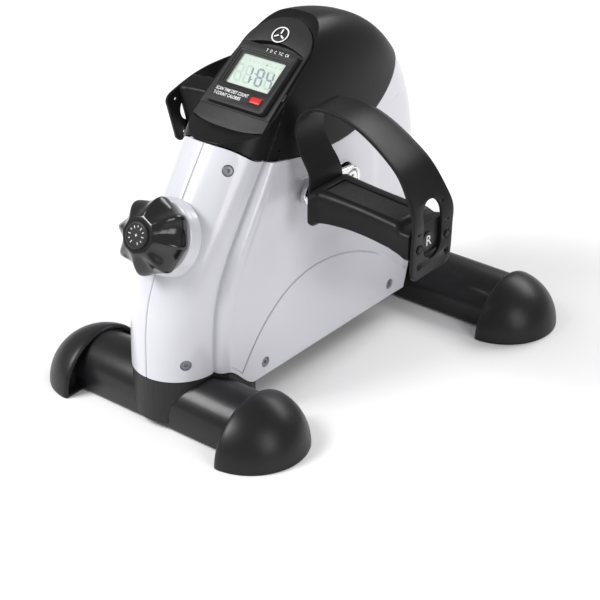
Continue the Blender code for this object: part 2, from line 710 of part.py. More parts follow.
def build_bolts():
    """Bolts that hold each foot bar to the frame."""
    for end, y, top in (("front", -FOOT_Y, 0.0522), ("rear", FOOT_Y, 0.0558)):
        for side_name, side in SIDES:
            bolt = bmesh.new()
            x = side * BOLT_X[1]
            turned(bolt, axis_frame((x, y, 0.0), (0.0, 0.0, 1.0)),
                   [(0.0028, 0.0300), (0.0028, top + GAP), (0.0060, top + GAP), (0.0060, top + 0.0035),
                    (0.0052, top + 0.0042)], 12)
            add_object("%s_bar_bolt_%s" % (end, side_name), bolt, "bare_steel")


# ---------------------------------------------------------------- frame, crank and brake
def build_frame():
    """Steel strap frame: runs over both bars and carries the two bearing posts."""
    body = bmesh.new()
    strap = [(-0.1670, 0.0472), (-0.1150, 0.0472), (-0.1150, 0.0240), (0.1090, 0.0240), (0.1090, 0.0508),
             (0.1580, 0.0508), (0.1580, 0.0558), (0.1040, 0.0558), (0.1040, 0.0290), (-0.1100, 0.0290),
             (-0.1100, 0.0522), (-0.1670, 0.0522)]
    extrude_x(body, strap, -0.0260, 0.0260)
    frame = add_object("steel_frame", body, "black_steel", smooth=30.0)
    for y, top in ((-FOOT_Y, 0.06), (FOOT_Y, 0.065)):
        for x in BOLT_X:
            hole = bmesh.new()
            turned(hole, axis_frame((x, y, 0.0), (0.0, 0.0, 1.0)), [(0.0033, 0.03), (0.0033, top)], 12)
            combine(frame, add_cutter("guide_frame_bolt_%d_%d" % (x * 1000, y * 1000), hole), "DIFFERENCE")
    for side_name, side in SIDES:
        post = bmesh.new()
        outline = post_outline()
        extrude_x(post, outline, side * 0.0262, side * 0.0222)
        combine(frame, add_cutter("guide_post_" + side_name, post), "UNION")
        bore = bmesh.new()
        turned(bore, axis_frame((0.0, CRANK_Y, CRANK_Z), X_AXIS),
               [(0.0150 + GAP, side * 0.018), (0.0150 + GAP, side * 0.034)], 24)
        combine(frame, add_cutter("guide_bearing_bore_" + side_name, bore), "DIFFERENCE")
    tab = bmesh.new()
    box(tab, (-0.0100, -0.0562, 0.0270), (0.0100, -0.0520, 0.1150))
    combine(frame, add_cutter("guide_brake_anchor", tab), "UNION")


def post_outline():
    """Bearing post in (y, z): wide at the beam, round about the bearing."""
    top = []
    for i in range(13):
        angle = math.radians(-20.0 + 220.0 * i / 12)
        top.append((CRANK_Y + 0.0220 * math.cos(angle), CRANK_Z + 0.0220 * math.sin(angle)))
    return [(CRANK_Y + 0.0400, 0.0262)] + top + [(CRANK_Y - 0.0400, 0.0262)]


def spindle_centre(side):
    """Pedal spindle centre in (y, z); the two arms point opposite ways."""
    return (CRANK_Y - side * CRANK_RADIUS * math.cos(CRANK_RISE),
            CRANK_Z + side * CRANK_RADIUS * math.sin(CRANK_RISE))


def build_crank():
    """Axle, bearings, brake drum, arms, end caps and spindles."""
    centre = Vector((0.0, CRANK_Y, CRANK_Z))
    frame = axis_frame(centre, X_AXIS)
    axle = bmesh.new()
    turned(axle, frame, [(AXLE_RADIUS - 0.0015, -NUT_SEAT_X), (AXLE_RADIUS - 0.0015, GAP - ARM_X),
                         (AXLE_RADIUS, GAP - ARM_X), (AXLE_RADIUS, ARM_X - GAP),
                         (AXLE_RADIUS - 0.0015, ARM_X - GAP), (AXLE_RADIUS - 0.0015, NUT_SEAT_X)], 24)
    add_object("crank_axle", axle, "bare_steel", origin=centre)
    drum = bmesh.new()
    turned_ring(drum, frame, [(AXLE_RADIUS + GAP, -DRUM_HALF_WIDTH - 0.003),
                              (0.0120, -DRUM_HALF_WIDTH - 0.003),
                              (0.0120, -0.0030), (DRUM_RADIUS - 0.004, -0.0030),
                              (DRUM_RADIUS - 0.004, -DRUM_HALF_WIDTH), (DRUM_RADIUS, -DRUM_HALF_WIDTH),
                              (DRUM_RADIUS, DRUM_HALF_WIDTH), (DRUM_RADIUS - 0.004, DRUM_HALF_WIDTH),
                              (DRUM_RADIUS - 0.004, 0.0030), (0.0120, 0.0030),
                              (0.0120, DRUM_HALF_WIDTH + 0.003),
                              (AXLE_RADIUS + GAP, DRUM_HALF_WIDTH + 0.003)], 32)
    add_object("brake_drum", drum, "bare_steel", origin=centre)
    for name, side in SIDES:
        bearing = bmesh.new()
        turned_ring(bearing, frame, [(AXLE_RADIUS + GAP, side * 0.0205), (0.0150, side * 0.0205),
                                     (0.0150, side * 0.0275), (AXLE_RADIUS + GAP, side * 0.0275)], 24)
        add_object("bearing_" + name, bearing, "bare_steel", origin=centre)
        build_arm(name, side)


def build_arm(name, side):
    """One crank arm with its axle cap and its pedal spindle."""
    spindle_y, spindle_z = spindle_centre(side)
    along = Vector((0.0, spindle_y - CRANK_Y, spindle_z - CRANK_Z)).normalized()
    across = Vector((0.0, -along.z, along.y))
    outline = []
    for i in range(13):
        angle = -0.5 * math.pi + math.pi * i / 12
        outline.append(Vector((0.0, spindle_y, spindle_z)) + along * ARM_END_RADIUS * math.cos(angle)
                       + across * ARM_END_RADIUS * math.sin(angle))
    for i in range(13):
        angle = 0.5 * math.pi + math.pi * i / 12
        outline.append(Vector((0.0, CRANK_Y, CRANK_Z)) + along * 0.0120 * math.cos(angle)
                       + across * 0.0120 * math.sin(angle))
    arm = bmesh.new()
    loft(arm, [[point + X_AXIS * side * x for point in outline] for x in (ARM_X, ARM_X + ARM_THICK)])
    item = add_object("crank_arm_" + name, arm, "chrome", origin=(0.0, CRANK_Y, CRANK_Z), smooth=35.0)
    for label, centre, radius in (("axle", (0.0, CRANK_Y, CRANK_Z), AXLE_RADIUS - 0.0015 + GAP),
                                  ("spindle", (0.0, spindle_y, spindle_z), SPINDLE_RADIUS + GAP)):
        hole = bmesh.new()
        turned(hole, axis_frame(centre, X_AXIS), [(radius, side * 0.045), (radius, side * 0.065)], 20)
        combine(item, add_cutter("guide_%s_%s" % (label, name), hole), "DIFFERENCE")
    hub_frame = axis_frame((0.0, CRANK_Y, CRANK_Z), X_AXIS * side)
    sink = bmesh.new()
    turned(sink, hub_frame, [(NUT_RADIUS + GAP, NUT_SEAT_X), (NUT_RADIUS + GAP, 0.0650)], 20)
    combine(item, add_cutter("guide_nut_seat_" + name, sink), "DIFFERENCE")

    start = ARM_X + ARM_THICK + GAP
    nut = bmesh.new()
    turned(nut, hub_frame, [(NUT_RADIUS, NUT_SEAT_X + GAP), (NUT_RADIUS, start - 0.0010),
                            (NUT_RADIUS - 0.0008, start - 2.0 * GAP)], 20)
    add_object("crank_nut_" + name, nut, "chrome", origin=(0.0, CRANK_Y, CRANK_Z))

    spindle = bmesh.new()
    turned(spindle, axis_frame((0.0, spindle_y, spindle_z), X_AXIS * side),
           [(SPINDLE_RADIUS, ARM_X), (SPINDLE_RADIUS, start), (0.0080, start), (0.0080, start + 0.004),
            (SPINDLE_RADIUS, start + 0.0045), (SPINDLE_RADIUS, PEDAL_X1 - 0.012)], 20)
    add_object("pedal_spindle_" + name, spindle, "chrome", origin=(0.0, spindle_y, spindle_z))


BAND_THICK = 0.0024
BAND_CENTRE_RADIUS = DRUM_RADIUS + GAP + 0.5 * BAND_THICK
BAND_ANCHOR = Vector((0.0, -0.0500, 0.1080))
BAND_PIN = Vector((0.0, -0.0890, 0.1460))


def tangent_angle(point, upper):
    """Angle on the drum where a straight run from the point touches the band's circle."""
    offset = point - Vector((0.0, CRANK_Y, CRANK_Z))
    distance = math.hypot(offset.y, offset.z)
    heading = math.atan2(offset.z, offset.y)
    swing = math.acos(BAND_CENTRE_RADIUS / distance)
    return heading - swing if upper else heading + swing


def build_brake():
    """Friction band round the drum: fixed below, pulled by the tension yoke above."""
    start = tangent_angle(BAND_PIN, True)
    end = tangent_angle(BAND_ANCHOR, False)
    sweep = (start - end) % (2.0 * math.pi)
    path = [BAND_PIN]
    for i in range(25):
        angle = start - sweep * i / 24
        path.append(Vector((0.0, CRANK_Y + BAND_CENTRE_RADIUS * math.cos(angle),
                            CRANK_Z + BAND_CENTRE_RADIUS * math.sin(angle))))
    path.append(BAND_ANCHOR)
    band = bmesh.new()
    rings = []
    for i, point in enumerate(path):
        tangent = (path[min(i + 1, len(path) - 1)] - path[max(i - 1, 0)]).normalized()
        normal = Vector((0.0, -tangent.z, tangent.y)) * 0.5 * BAND_THICK
        rings.append([point + normal - X_AXIS * 0.0085, point + normal + X_AXIS * 0.0085,
                      point - normal + X_AXIS * 0.0085, point - normal - X_AXIS * 0.0085])
    loft(band, rings)
    add_object("brake_band", band, "felt", smooth=40.0)


YOKE_ALONG = 0.0700             # distance of the yoke from the nose surface, along the rod


def build_tensioner():
    """Knob, its dial cap, the threaded rod and the yoke that the rod draws forward."""
    frame = axis_frame(KNOB_BASE, KNOB_DIR)
    centre = KNOB_BASE + KNOB_DIR * 0.0200
    knob = bmesh.new()
    rings = []
    # height over the nose, radius of the lobes, depth of the scoops between them
    for height, radius, scoop in ((0.0062, 0.0290, 0.0022), (0.0110, KNOB_RADIUS, 0.0036),
                                  (0.0190, 0.0322, 0.0056), (0.0265, 0.0275, 0.0066),
                                  (0.0325, 0.0200, 0.0036), (0.0350, 0.0150, 0.0008)):
        ring = []
        for i in range(50):
            angle = 2.0 * math.pi * i / 50
            wave = 0.5 - 0.5 * math.cos(KNOB_LOBES * angle)
            ring.append(frame @ Vector(((radius - scoop * wave ** 1.3) * math.cos(angle),
                                        (radius - scoop * wave ** 1.3) * math.sin(angle), height)))
        rings.append(ring)
    loft(knob, rings)
    item = add_object("tension_knob", knob, "black_gloss", origin=centre, smooth=50.0)
    seat = bmesh.new()
    turned(seat, frame, [(0.0112 + GAP, 0.0325), (0.0112 + GAP, 0.05)], 32)
    combine(item, add_cutter("guide_dial_seat", seat), "DIFFERENCE")
    socket = bmesh.new()
    turned(socket, frame, [(ROD_RADIUS + GAP, -0.01), (ROD_RADIUS + GAP, 0.0253)], 16)
    combine(item, add_cutter("guide_rod_socket", socket), "DIFFERENCE")

    dial = bmesh.new()
    turned(dial, frame, [(0.0110, 0.0328), (0.0112, 0.0332), (0.0112, 0.0366), (0.0100, 0.0374)], 32)
    add_object("knob_dial", dial, "black_satin", origin=centre)
    rod = bmesh.new()
    turned(rod, frame, [(ROD_RADIUS - 0.0005, -0.0900), (ROD_RADIUS, -0.0890), (ROD_RADIUS, 0.0250)], 16)
    add_object("tension_rod", rod, "bare_steel", origin=centre)

    yoke_frame = axis_frame(KNOB_BASE - KNOB_DIR * YOKE_ALONG, KNOB_DIR)
    yoke = bmesh.new()
    box(yoke, (-0.0140, -0.0070, -0.0050), (0.0140, 0.0070, 0.0050), yoke_frame)
    yoke_item = add_object("tension_yoke", yoke, "brass", origin=KNOB_BASE - KNOB_DIR * YOKE_ALONG)
    thread = bmesh.new()
    turned(thread, yoke_frame, [(ROD_RADIUS + GAP, -0.02), (ROD_RADIUS + GAP, 0.02)], 16)
    combine(yoke_item, add_cutter("guide_yoke_thread", thread), "DIFFERENCE")


# ---------------------------------------------------------------- pedals
def pedal_section(x, rise, drop, half_front, half_rear, corner=0.35, steps=5):
    """Rounded cross-section of a pedal body in (y, z) about the spindle, as a ring at x."""
    points = []
    for sy, sz, half, height in ((1, 1, half_rear, rise), (-1, 1, half_front, rise),
                                 (-1, -1, half_front, drop), (1, -1, half_rear, drop)):
        quarter = []
        for i in range(steps + 1):
            angle = 0.5 * math.pi * i / steps
            quarter.append((sy * half * math.cos(angle) ** corner, sz * height * math.sin(angle) ** corner))
        if sy * sz < 0:
            quarter.reverse()
        points += quarter[:-1]
    return [(x, y, z) for y, z in points]


# distance outboard, top, bottom, front half width, rear half width of the pedal body
PEDAL_STATIONS = (
    (0.0745, 0.0196, 0.0118, 0.0330, 0.0200), (0.0775, 0.0203, 0.0120, 0.0335, 0.0205),
    (0.0800, 0.0208, 0.0100, 0.0295, 0.0185), (0.0900, 0.0203, 0.0085, 0.0275, 0.0170),
    (0.1100, 0.0190, 0.0075, 0.0262, 0.0160), (0.1300, 0.0177, 0.0085, 0.0262, 0.0158),
    (0.1500, 0.0164, 0.0108, 0.0272, 0.0165), (0.1580, 0.0157, 0.0128, 0.0280, 0.0180),
    (0.1625, 0.0112, 0.0142, 0.0285, 0.0210), (0.1660, 0.0112, 0.0158, 0.0290, 0.0235),
    (0.1715, 0.0112, 0.0160, 0.0290, 0.0250),
)
PEG_MIDDLE = 0.0002
PEG_SPREAD = 0.0189
PEG_DROP = 0.0057
HOLE_STEP = 0.0152
SLOT_MIDDLE = -0.0006
SLOT_HALF = 0.0125
SLOT_TOP = 0.0305
SLOT_BOTTOM = -0.0195


def build_pedal(name, side):
    """Pedal body on its spindle, with its tread, its strap and the pegs that hold the strap."""
    spindle_y, spindle_z = spindle_centre(side)
    origin = Vector((0.0, spindle_y, spindle_z))
    turn = Matrix.Rotation(PEDAL_TILT[name], 4, "X")
    frame = Matrix.Translation(origin) @ turn @ Matrix.Scale(side, 4, X_AXIS)

    body = bmesh.new()
    loft(body, [[frame @ Vector(point) for point in pedal_section(*station)] for station in PEDAL_STATIONS])
    item = add_object("pedal_" + name, body, "black_rubber", origin=origin, smooth=45.0)
    for sign in (-1.0, 1.0):
        peg = bmesh.new()
        centre = frame @ Vector((0.0, PEG_MIDDLE + sign * PEG_SPREAD, -PEG_DROP))
        turned(peg, axis_frame(centre, X_AXIS * side),
               [(0.0030, PEDAL_X1 - 0.004), (0.0030, PEDAL_X1 + 0.0044)], 12)
        combine(item, add_cutter("guide_peg_%s_%d" % (name, sign), peg), "UNION")
    bore = bmesh.new()
    turned(bore, axis_frame(origin, X_AXIS * side),
           [(SPINDLE_RADIUS + GAP, 0.0700), (SPINDLE_RADIUS + GAP, PEDAL_X1 - 0.0115)], 20)
    combine(item, add_cutter("guide_spindle_bore_" + name, bore), "DIFFERENCE")
    seat = bmesh.new()
    tread_seat = frame @ Matrix.Rotation(math.radians(4.2), 4, "Y")
    box(seat, (0.0820, -0.0204, 0.0243), (0.1550, 0.0039, 0.0450), tread_seat)
    combine(item, add_cutter("guide_tread_seat_" + name, seat), "DIFFERENCE")
    tread = bmesh.new()
    box(tread, (0.0824, -0.0200, 0.0246), (0.1546, 0.0035, 0.0262), tread_seat)
    add_object("pedal_tread_" + name, tread, "black_rubber", origin=origin)
    build_strap(name, side, frame)


# strap route about the spindle: across, up, forward lean of its middle, half width
STRAP_ROUTE = (
    (0.0728, 0.0110, -0.0077, 0.0217), (0.0727, 0.0190, -0.0070, 0.0217), (0.0700, 0.0310, -0.0058, 0.0192),
    (0.0610, 0.0485, -0.0080, 0.0180), (0.0571, 0.0640, -0.0090, 0.0176), (0.0605, 0.0780, -0.0090, 0.0175),
    (0.0712, 0.0875, -0.0088, 0.0176), (0.0870, 0.0900, -0.0083, 0.0180), (0.1040, 0.0880, -0.0075, 0.0184),
    (0.1220, 0.0812, -0.0065, 0.0190), (0.1410, 0.0690, -0.0052, 0.0200), (0.1575, 0.0540, -0.0035, 0.0216),
    (0.1682, 0.0340, -0.0010, 0.0245), (0.1733, 0.0170, 0.0012, 0.0270), (0.1737, 0.0000, 0.0002, 0.0275),
    (0.1737, -0.0200, -0.0005, 0.0272), (0.1737, -0.0285, -0.0010, 0.0255),
    (0.1737, -0.0320, -0.0015, 0.0210),
)


def strap_point(t):
    """Smooth point of the strap's route; t counts the route's stations."""
    index = min(int(t), len(STRAP_ROUTE) - 2)
    f = t - index
    picks = [STRAP_ROUTE[min(max(index + k, 0), len(STRAP_ROUTE) - 1)] for k in (-1, 0, 1, 2)]
    result = []
    for a, b, c, d in zip(*picks):
        result.append(0.5 * (2 * b + (c - a) * f + (2 * a - 5 * b + 4 * c - d) * f * f
                             + (3 * b - a - 3 * c + d) * f ** 3))
    return result


def build_strap(name, side, frame):
    """Toe strap: a wide band looping over the foot, slotted and holed at its outboard end."""
    samples = [strap_point(i * 0.5) for i in range(2 * len(STRAP_ROUTE) - 1)]
    rings = []
    for i, (x, up, lean, half) in enumerate(samples):
        before, after = samples[max(i - 1, 0)], samples[min(i + 1, len(samples) - 1)]
        length = math.hypot(after[0] - before[0], after[1] - before[1])
        nx = -(after[1] - before[1]) / length * 0.5 * STRAP_THICK
        nz = (after[0] - before[0]) / length * 0.5 * STRAP_THICK
        corners = ((x + nx, lean - half, up + nz), (x + nx, lean + half, up + nz),
                   (x - nx, lean + half, up - nz), (x - nx, lean - half, up - nz))
        rings.append([frame @ Vector(corner) for corner in corners])
    body = bmesh.new()
    loft(body, rings)
    strap = add_object("toe_strap_" + name, body, "black_rubber", origin=frame.translation, smooth=40.0)
    slot = bmesh.new()
    outline = [(SLOT_MIDDLE + SLOT_HALF * math.cos(math.pi * i / 10),
                z + SLOT_HALF * math.sin(math.pi * i / 10))
               for z, first in ((SLOT_TOP, 0), (SLOT_BOTTOM, 10)) for i in range(first, first + 11)]
    loft(slot, [[frame @ Vector((x, y, z)) for y, z in outline] for x in (0.150, 0.190)])
    combine(strap, add_cutter("guide_strap_slot_" + name, slot), "DIFFERENCE")
    for sign in (-1.0, 1.0):
        for row, drop in enumerate((-PEG_DROP, -PEG_DROP - HOLE_STEP)):
            hole = bmesh.new()
            centre = frame @ Vector((0.0, PEG_MIDDLE + sign * PEG_SPREAD, drop))
            turned(hole, axis_frame(centre, X_AXIS * side),
                   [(0.0030 + GAP, 0.160), (0.0030 + GAP, 0.190)], 12)
            combine(strap, add_cutter("guide_strap_hole_%s_%d_%d" % (name, sign, row), hole), "DIFFERENCE")


# ---------------------------------------------------------------- counter's pickup
def build_pickup():
    """Magnet carried by the drum and the reed switch that counts its turns."""
    magnet = bmesh.new()
    turned(magnet, axis_frame((0.0, CRANK_Y, CRANK_Z + 0.0240), X_AXIS),
           [(0.0040, 0.0033), (0.0040, 0.0080)], 16)
    add_object("speed_magnet", magnet, "bare_steel", origin=(0.0, CRANK_Y, CRANK_Z))
    switch = bmesh.new()
    box(switch, (0.0125, CRANK_Y - 0.0060, CRANK_Z + 0.0205), (0.0219, CRANK_Y + 0.0060, CRANK_Z + 0.0290))
    add_object("reed_switch", switch, "black_satin")


# ---------------------------------------------------------------- assembly
clear_scene()
MATERIALS = make_materials()
build_housing_half("housing_right", 1.0)
build_housing_half("housing_left", -1.0)
build_screws()
build_holder(build_cover())
build_counter()
build_bar("front_foot_bar", -FOOT_Y, FRONT_CAP_X + CAP_RECESS - GAP)
build_bar("rear_foot_bar", FOOT_Y, REAR_CAP_X + CAP_RECESS - GAP)
for cap_side_name, cap_side in SIDES:
    build_cap("front_cap_" + cap_side_name, FRONT_CAP_X, cap_side, -FOOT_Y)
    build_cap("rear_cap_" + cap_side_name, REAR_CAP_X, cap_side, FOOT_Y)
build_front_saddle()
build_rear_saddle()
build_bolts()
build_frame()
build_crank()
build_brake()
build_tensioner()
build_pickup()
for pedal_side_name, pedal_side in SIDES:
    build_pedal(pedal_side_name, pedal_side)
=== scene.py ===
"""Visual model of the pedal exerciser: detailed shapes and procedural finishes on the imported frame."""
import json
import math

import bmesh
import bpy
import numpy as np
from mathutils import Matrix, Vector


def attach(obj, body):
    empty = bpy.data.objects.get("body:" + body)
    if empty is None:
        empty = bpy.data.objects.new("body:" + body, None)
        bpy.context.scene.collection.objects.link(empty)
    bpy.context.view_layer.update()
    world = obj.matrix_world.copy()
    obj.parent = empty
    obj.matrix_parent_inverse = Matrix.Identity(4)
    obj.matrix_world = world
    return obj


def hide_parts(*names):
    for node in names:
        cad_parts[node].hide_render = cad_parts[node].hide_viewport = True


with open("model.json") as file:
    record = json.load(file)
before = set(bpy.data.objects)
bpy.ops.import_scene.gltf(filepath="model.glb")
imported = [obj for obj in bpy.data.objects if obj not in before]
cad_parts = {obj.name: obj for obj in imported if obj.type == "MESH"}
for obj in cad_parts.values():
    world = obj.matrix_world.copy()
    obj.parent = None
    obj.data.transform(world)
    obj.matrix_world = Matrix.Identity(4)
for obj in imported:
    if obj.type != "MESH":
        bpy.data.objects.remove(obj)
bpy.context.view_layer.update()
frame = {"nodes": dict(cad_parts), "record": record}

# ---------------------------------------------------------------- dimensions, in metres
GAP = 0.0003
FOOT_Y = 0.1512
BAR_RADIUS = 0.0295
BAR_AXIS_Z = 0.0144
BAR_BOTTOM_Z = 0.002
BAR_WALL = 0.0025
PLUG_LENGTH = 0.0200
CAP_RADIUS = 0.0488
CAP_HEIGHT = 0.0465
FRONT_CAP_X = 0.0830
REAR_CAP_X = 0.1316
CAP_RECESS = 0.0080
CAP_LIP = 0.0020
CAP_ROLL = ((0.0, 0.962), (0.0004, 0.976), (0.0014, 0.988), (0.0030, 0.995))
CAP_MOUTH = ((-0.0100, 0.0018), (0.0002, 0.0030), (0.0008, 0.0042), (0.0024, 0.0054), (0.0060, 0.0060),
             (CAP_RECESS, 0.0060))
SIDE_X = 0.0480
NOSE_RADIUS = 0.0385
SHELL_WALL = 0.0026
SEAM_GAP = 0.00015
HOOD_GAP = 0.0016
NOSE_BOTTOM_Z = 0.0466
PANEL_BOTTOM_Z = 0.0220
REAR_BOTTOM_Z = 0.0500
COVER_WALL = 0.0025
COVER_OVERHANG = 0.0008
DOME_BASE_Z = 0.1200
DOME_RISE = 0.1860
DOME_REAR = 0.1650
DOME_POWER = 2.5
DOME_SIDE_POWER = 3.6
REAR_TIP_LOW = ((0.023, 0.119), (0.050, 0.173), (0.085, 0.171), (0.120, 0.165))
REAR_FLAT_END = ((0.030, 0.108), (0.070, 0.086), (0.120, 0.030), (0.160, 0.000))
SPLIT_Y, SPLIT_Z = 0.0100, 0.2040
CRANK_Y = 0.0180
CRANK_Z = 0.1670
CRANK_RADIUS = 0.0534
CRANK_RISE = math.radians(6.4)
ARM_X = 0.0490
ARM_THICK = 0.0058
ARM_END_RADIUS = 0.0107
PEDAL_TILT = {"right": 0.0, "left": math.radians(-74.0)}
PEDAL_X1 = 0.1715
SPINDLE_RADIUS = 0.0045
STRAP_THICK = 0.0026
KNOB_BASE = Vector((0.0, -0.1560, 0.1635))
KNOB_TILT = math.radians(24.4)
KNOB_DIR = Vector((0.0, -math.cos(KNOB_TILT), math.sin(KNOB_TILT)))
KNOB_RADIUS = 0.0330
KNOB_LOBES = 8
BOSS_RADIUS = 0.0305
ROD_RADIUS = 0.0030
CONSOLE_TOP = Vector((0.0, -0.0204, 0.2827))
CONSOLE_TILT = math.radians(35.9)
CONSOLE_DOWN = Vector((0.0, -math.cos(CONSOLE_TILT), -math.sin(CONSOLE_TILT)))
CONSOLE_OUT = Vector((0.0, -math.sin(CONSOLE_TILT), math.cos(CONSOLE_TILT)))
CONSOLE_HALF = 0.0300
CONSOLE_LENGTH = 0.0610
HOLDER_HALF = 0.0338
HOLDER_FLARE = 0.0030
HOLDER_LIP = 0.0790
COVER_FLAT = -0.0040
LEDGE = ((-0.0795, 0.2353), (-0.1500, 0.2247))
WINDOW_X = 0.0222
WINDOW_TOP = 0.0110
WINDOW_BOTTOM = 0.0410
BUTTON_X = (0.0130, 0.0235)
BUTTON_DOWN = (0.0490, 0.0544)
SCREW_RADIUS = 0.0046
SCREW_SEATS = (
    ("housing_screw_low_front", Vector((SIDE_X, -0.0910, 0.0349)), Vector((1.0, 0.0, 0.0))),
    ("housing_screw_low_rear", Vector((SIDE_X, 0.0865, 0.0348)), Vector((1.0, 0.0, 0.0))),
    ("housing_screw_nose_top", Vector((0.0265, -0.1092, 0.2126)), Vector((0.66, -0.60, 0.45))),
    ("housing_screw_nose_low", Vector((0.0305, -0.1706, 0.0619)), Vector((0.79, -0.61, 0.03))),
)
SIDES = (("right", 1.0), ("left", -1.0))
CUT, JOIN = "DIFFERENCE", "UNION"
LIGHT_TARGET = (0.0, 0.0, 0.15)
LIGHTS = (
    ("key", (-0.9, -1.3, 1.5), (0.9, 0.9), 44.0),
    ("side", (1.7, -0.5, 1.0), (0.8, 1.2), 13.0),
    ("back", (0.3, 1.6, 1.5), (1.4, 0.8), 24.0),
)
WORLD_STRENGTH = 0.38
FLOOR_SIZE = 6.0
FLOOR_Z = (-0.0200, -0.0005)
CAMERA_LENS = 103.956
CAMERA_SENSOR = 36.0
CAMERA_CLIP = (0.05, 30.0)
CAMERA_PLACE = (0.8559, -1.0528, 0.7909)
CAMERA_TURN = (math.radians(61.0), 0.0, math.radians(38.7))
X_AXIS = Vector((1.0, 0.0, 0.0))


# ---------------------------------------------------------------- materials
def add_node(tree, kind, **inputs):
    """A node with its inputs set by name."""
    made = tree.nodes.new(kind)
    for key, value in inputs.items():
        made.inputs[key].default_value = value
    return made


def noise_of(tree, place, scale, detail, rough):
    """Noise over the object's own coordinates."""
    made = add_node(tree, "ShaderNodeTexNoise", Scale=scale, Detail=detail, Roughness=rough)
    tree.links.new(place.outputs["Object"], made.inputs["Vector"])
    return made


def finish_of(name, colour, rough, metallic=0.0, coat=0.0, coat_rough=0.06, cloud=(30.0, 0.05),
              grain=(900.0, 0.10, 0.00006), swirl=0.05, specular=0.5, sheen=0.0):
    """Procedural finish: clouded colour and roughness, fine grain and a slow waviness in the surface."""
    made = bpy.data.materials.new(name)
    made.use_nodes = True
    tree = made.node_tree
    shader = tree.nodes["Principled BSDF"]
    shader.inputs["Metallic"].default_value = metallic
    shader.inputs["Coat Weight"].default_value = coat
    shader.inputs["Coat Roughness"].default_value = coat_rough
    shader.inputs["Specular IOR Level"].default_value = specular
    shader.inputs["Sheen Weight"].default_value = sheen
    place = tree.nodes.new("ShaderNodeTexCoord")
    clouds = noise_of(tree, place, cloud[0], 4.0, 0.6)
    ramp = tree.nodes.new("ShaderNodeValToRGB")
    ramp.color_ramp.elements[0].position = 0.3
    ramp.color_ramp.elements[1].position = 0.7
    ramp.color_ramp.elements[0].color = (*[c * (1.0 - cloud[1]) for c in colour], 1.0)
    ramp.color_ramp.elements[1].color = (*[min(c * (1.0 + cloud[1]), 1.0) for c in colour], 1.0)
    tree.links.new(clouds.outputs["Fac"], ramp.inputs["Fac"])
    tree.links.new(ramp.outputs["Color"], shader.inputs["Base Color"])
    wear = noise_of(tree, place, cloud[0] * 5.0, 6.0, 0.7)
    spread = add_node(tree, "ShaderNodeMapRange")
    spread.inputs["To Min"].default_value = max(rough * 0.82, 0.02)
    spread.inputs["To Max"].default_value = min(rough * 1.22, 1.0)
    tree.links.new(wear.outputs["Fac"], spread.inputs["Value"])
    tree.links.new(spread.outputs["Result"], shader.inputs["Roughness"])
    fine = noise_of(tree, place, grain[0], 3.0, 0.55)
    bump = add_node(tree, "ShaderNodeBump", Strength=grain[1], Distance=grain[2])
    tree.links.new(fine.outputs["Fac"], bump.inputs["Height"])
    slow = noise_of(tree, place, 22.0, 1.0, 0.4)
    wave = add_node(tree, "ShaderNodeBump", Strength=swirl, Distance=0.0012)
    tree.links.new(slow.outputs["Fac"], wave.inputs["Height"])
    tree.links.new(bump.outputs["Normal"], wave.inputs["Normal"])
    tree.links.new(wave.outputs["Normal"], shader.inputs["Normal"])
    return made


def leather_grain(made, scale, strength):
    """Adds a pebbled, moulded-in texture to a finish."""
    tree = made.node_tree
    shader = tree.nodes["Principled BSDF"]
    place = next(n for n in tree.nodes if n.type == "TEX_COORD")
    cells = add_node(tree, "ShaderNodeTexVoronoi", Scale=scale)
    cells.feature = "SMOOTH_F1"
    tree.links.new(place.outputs["Object"], cells.inputs["Vector"])
    bump = add_node(tree, "ShaderNodeBump", Strength=strength, Distance=0.00012)
    tree.links.new(cells.outputs["Distance"], bump.inputs["Height"])
    old = shader.inputs["Normal"].links[0].from_socket
    tree.links.new(old, bump.inputs["Normal"])
    tree.links.new(bump.outputs["Normal"], shader.inputs["Normal"])


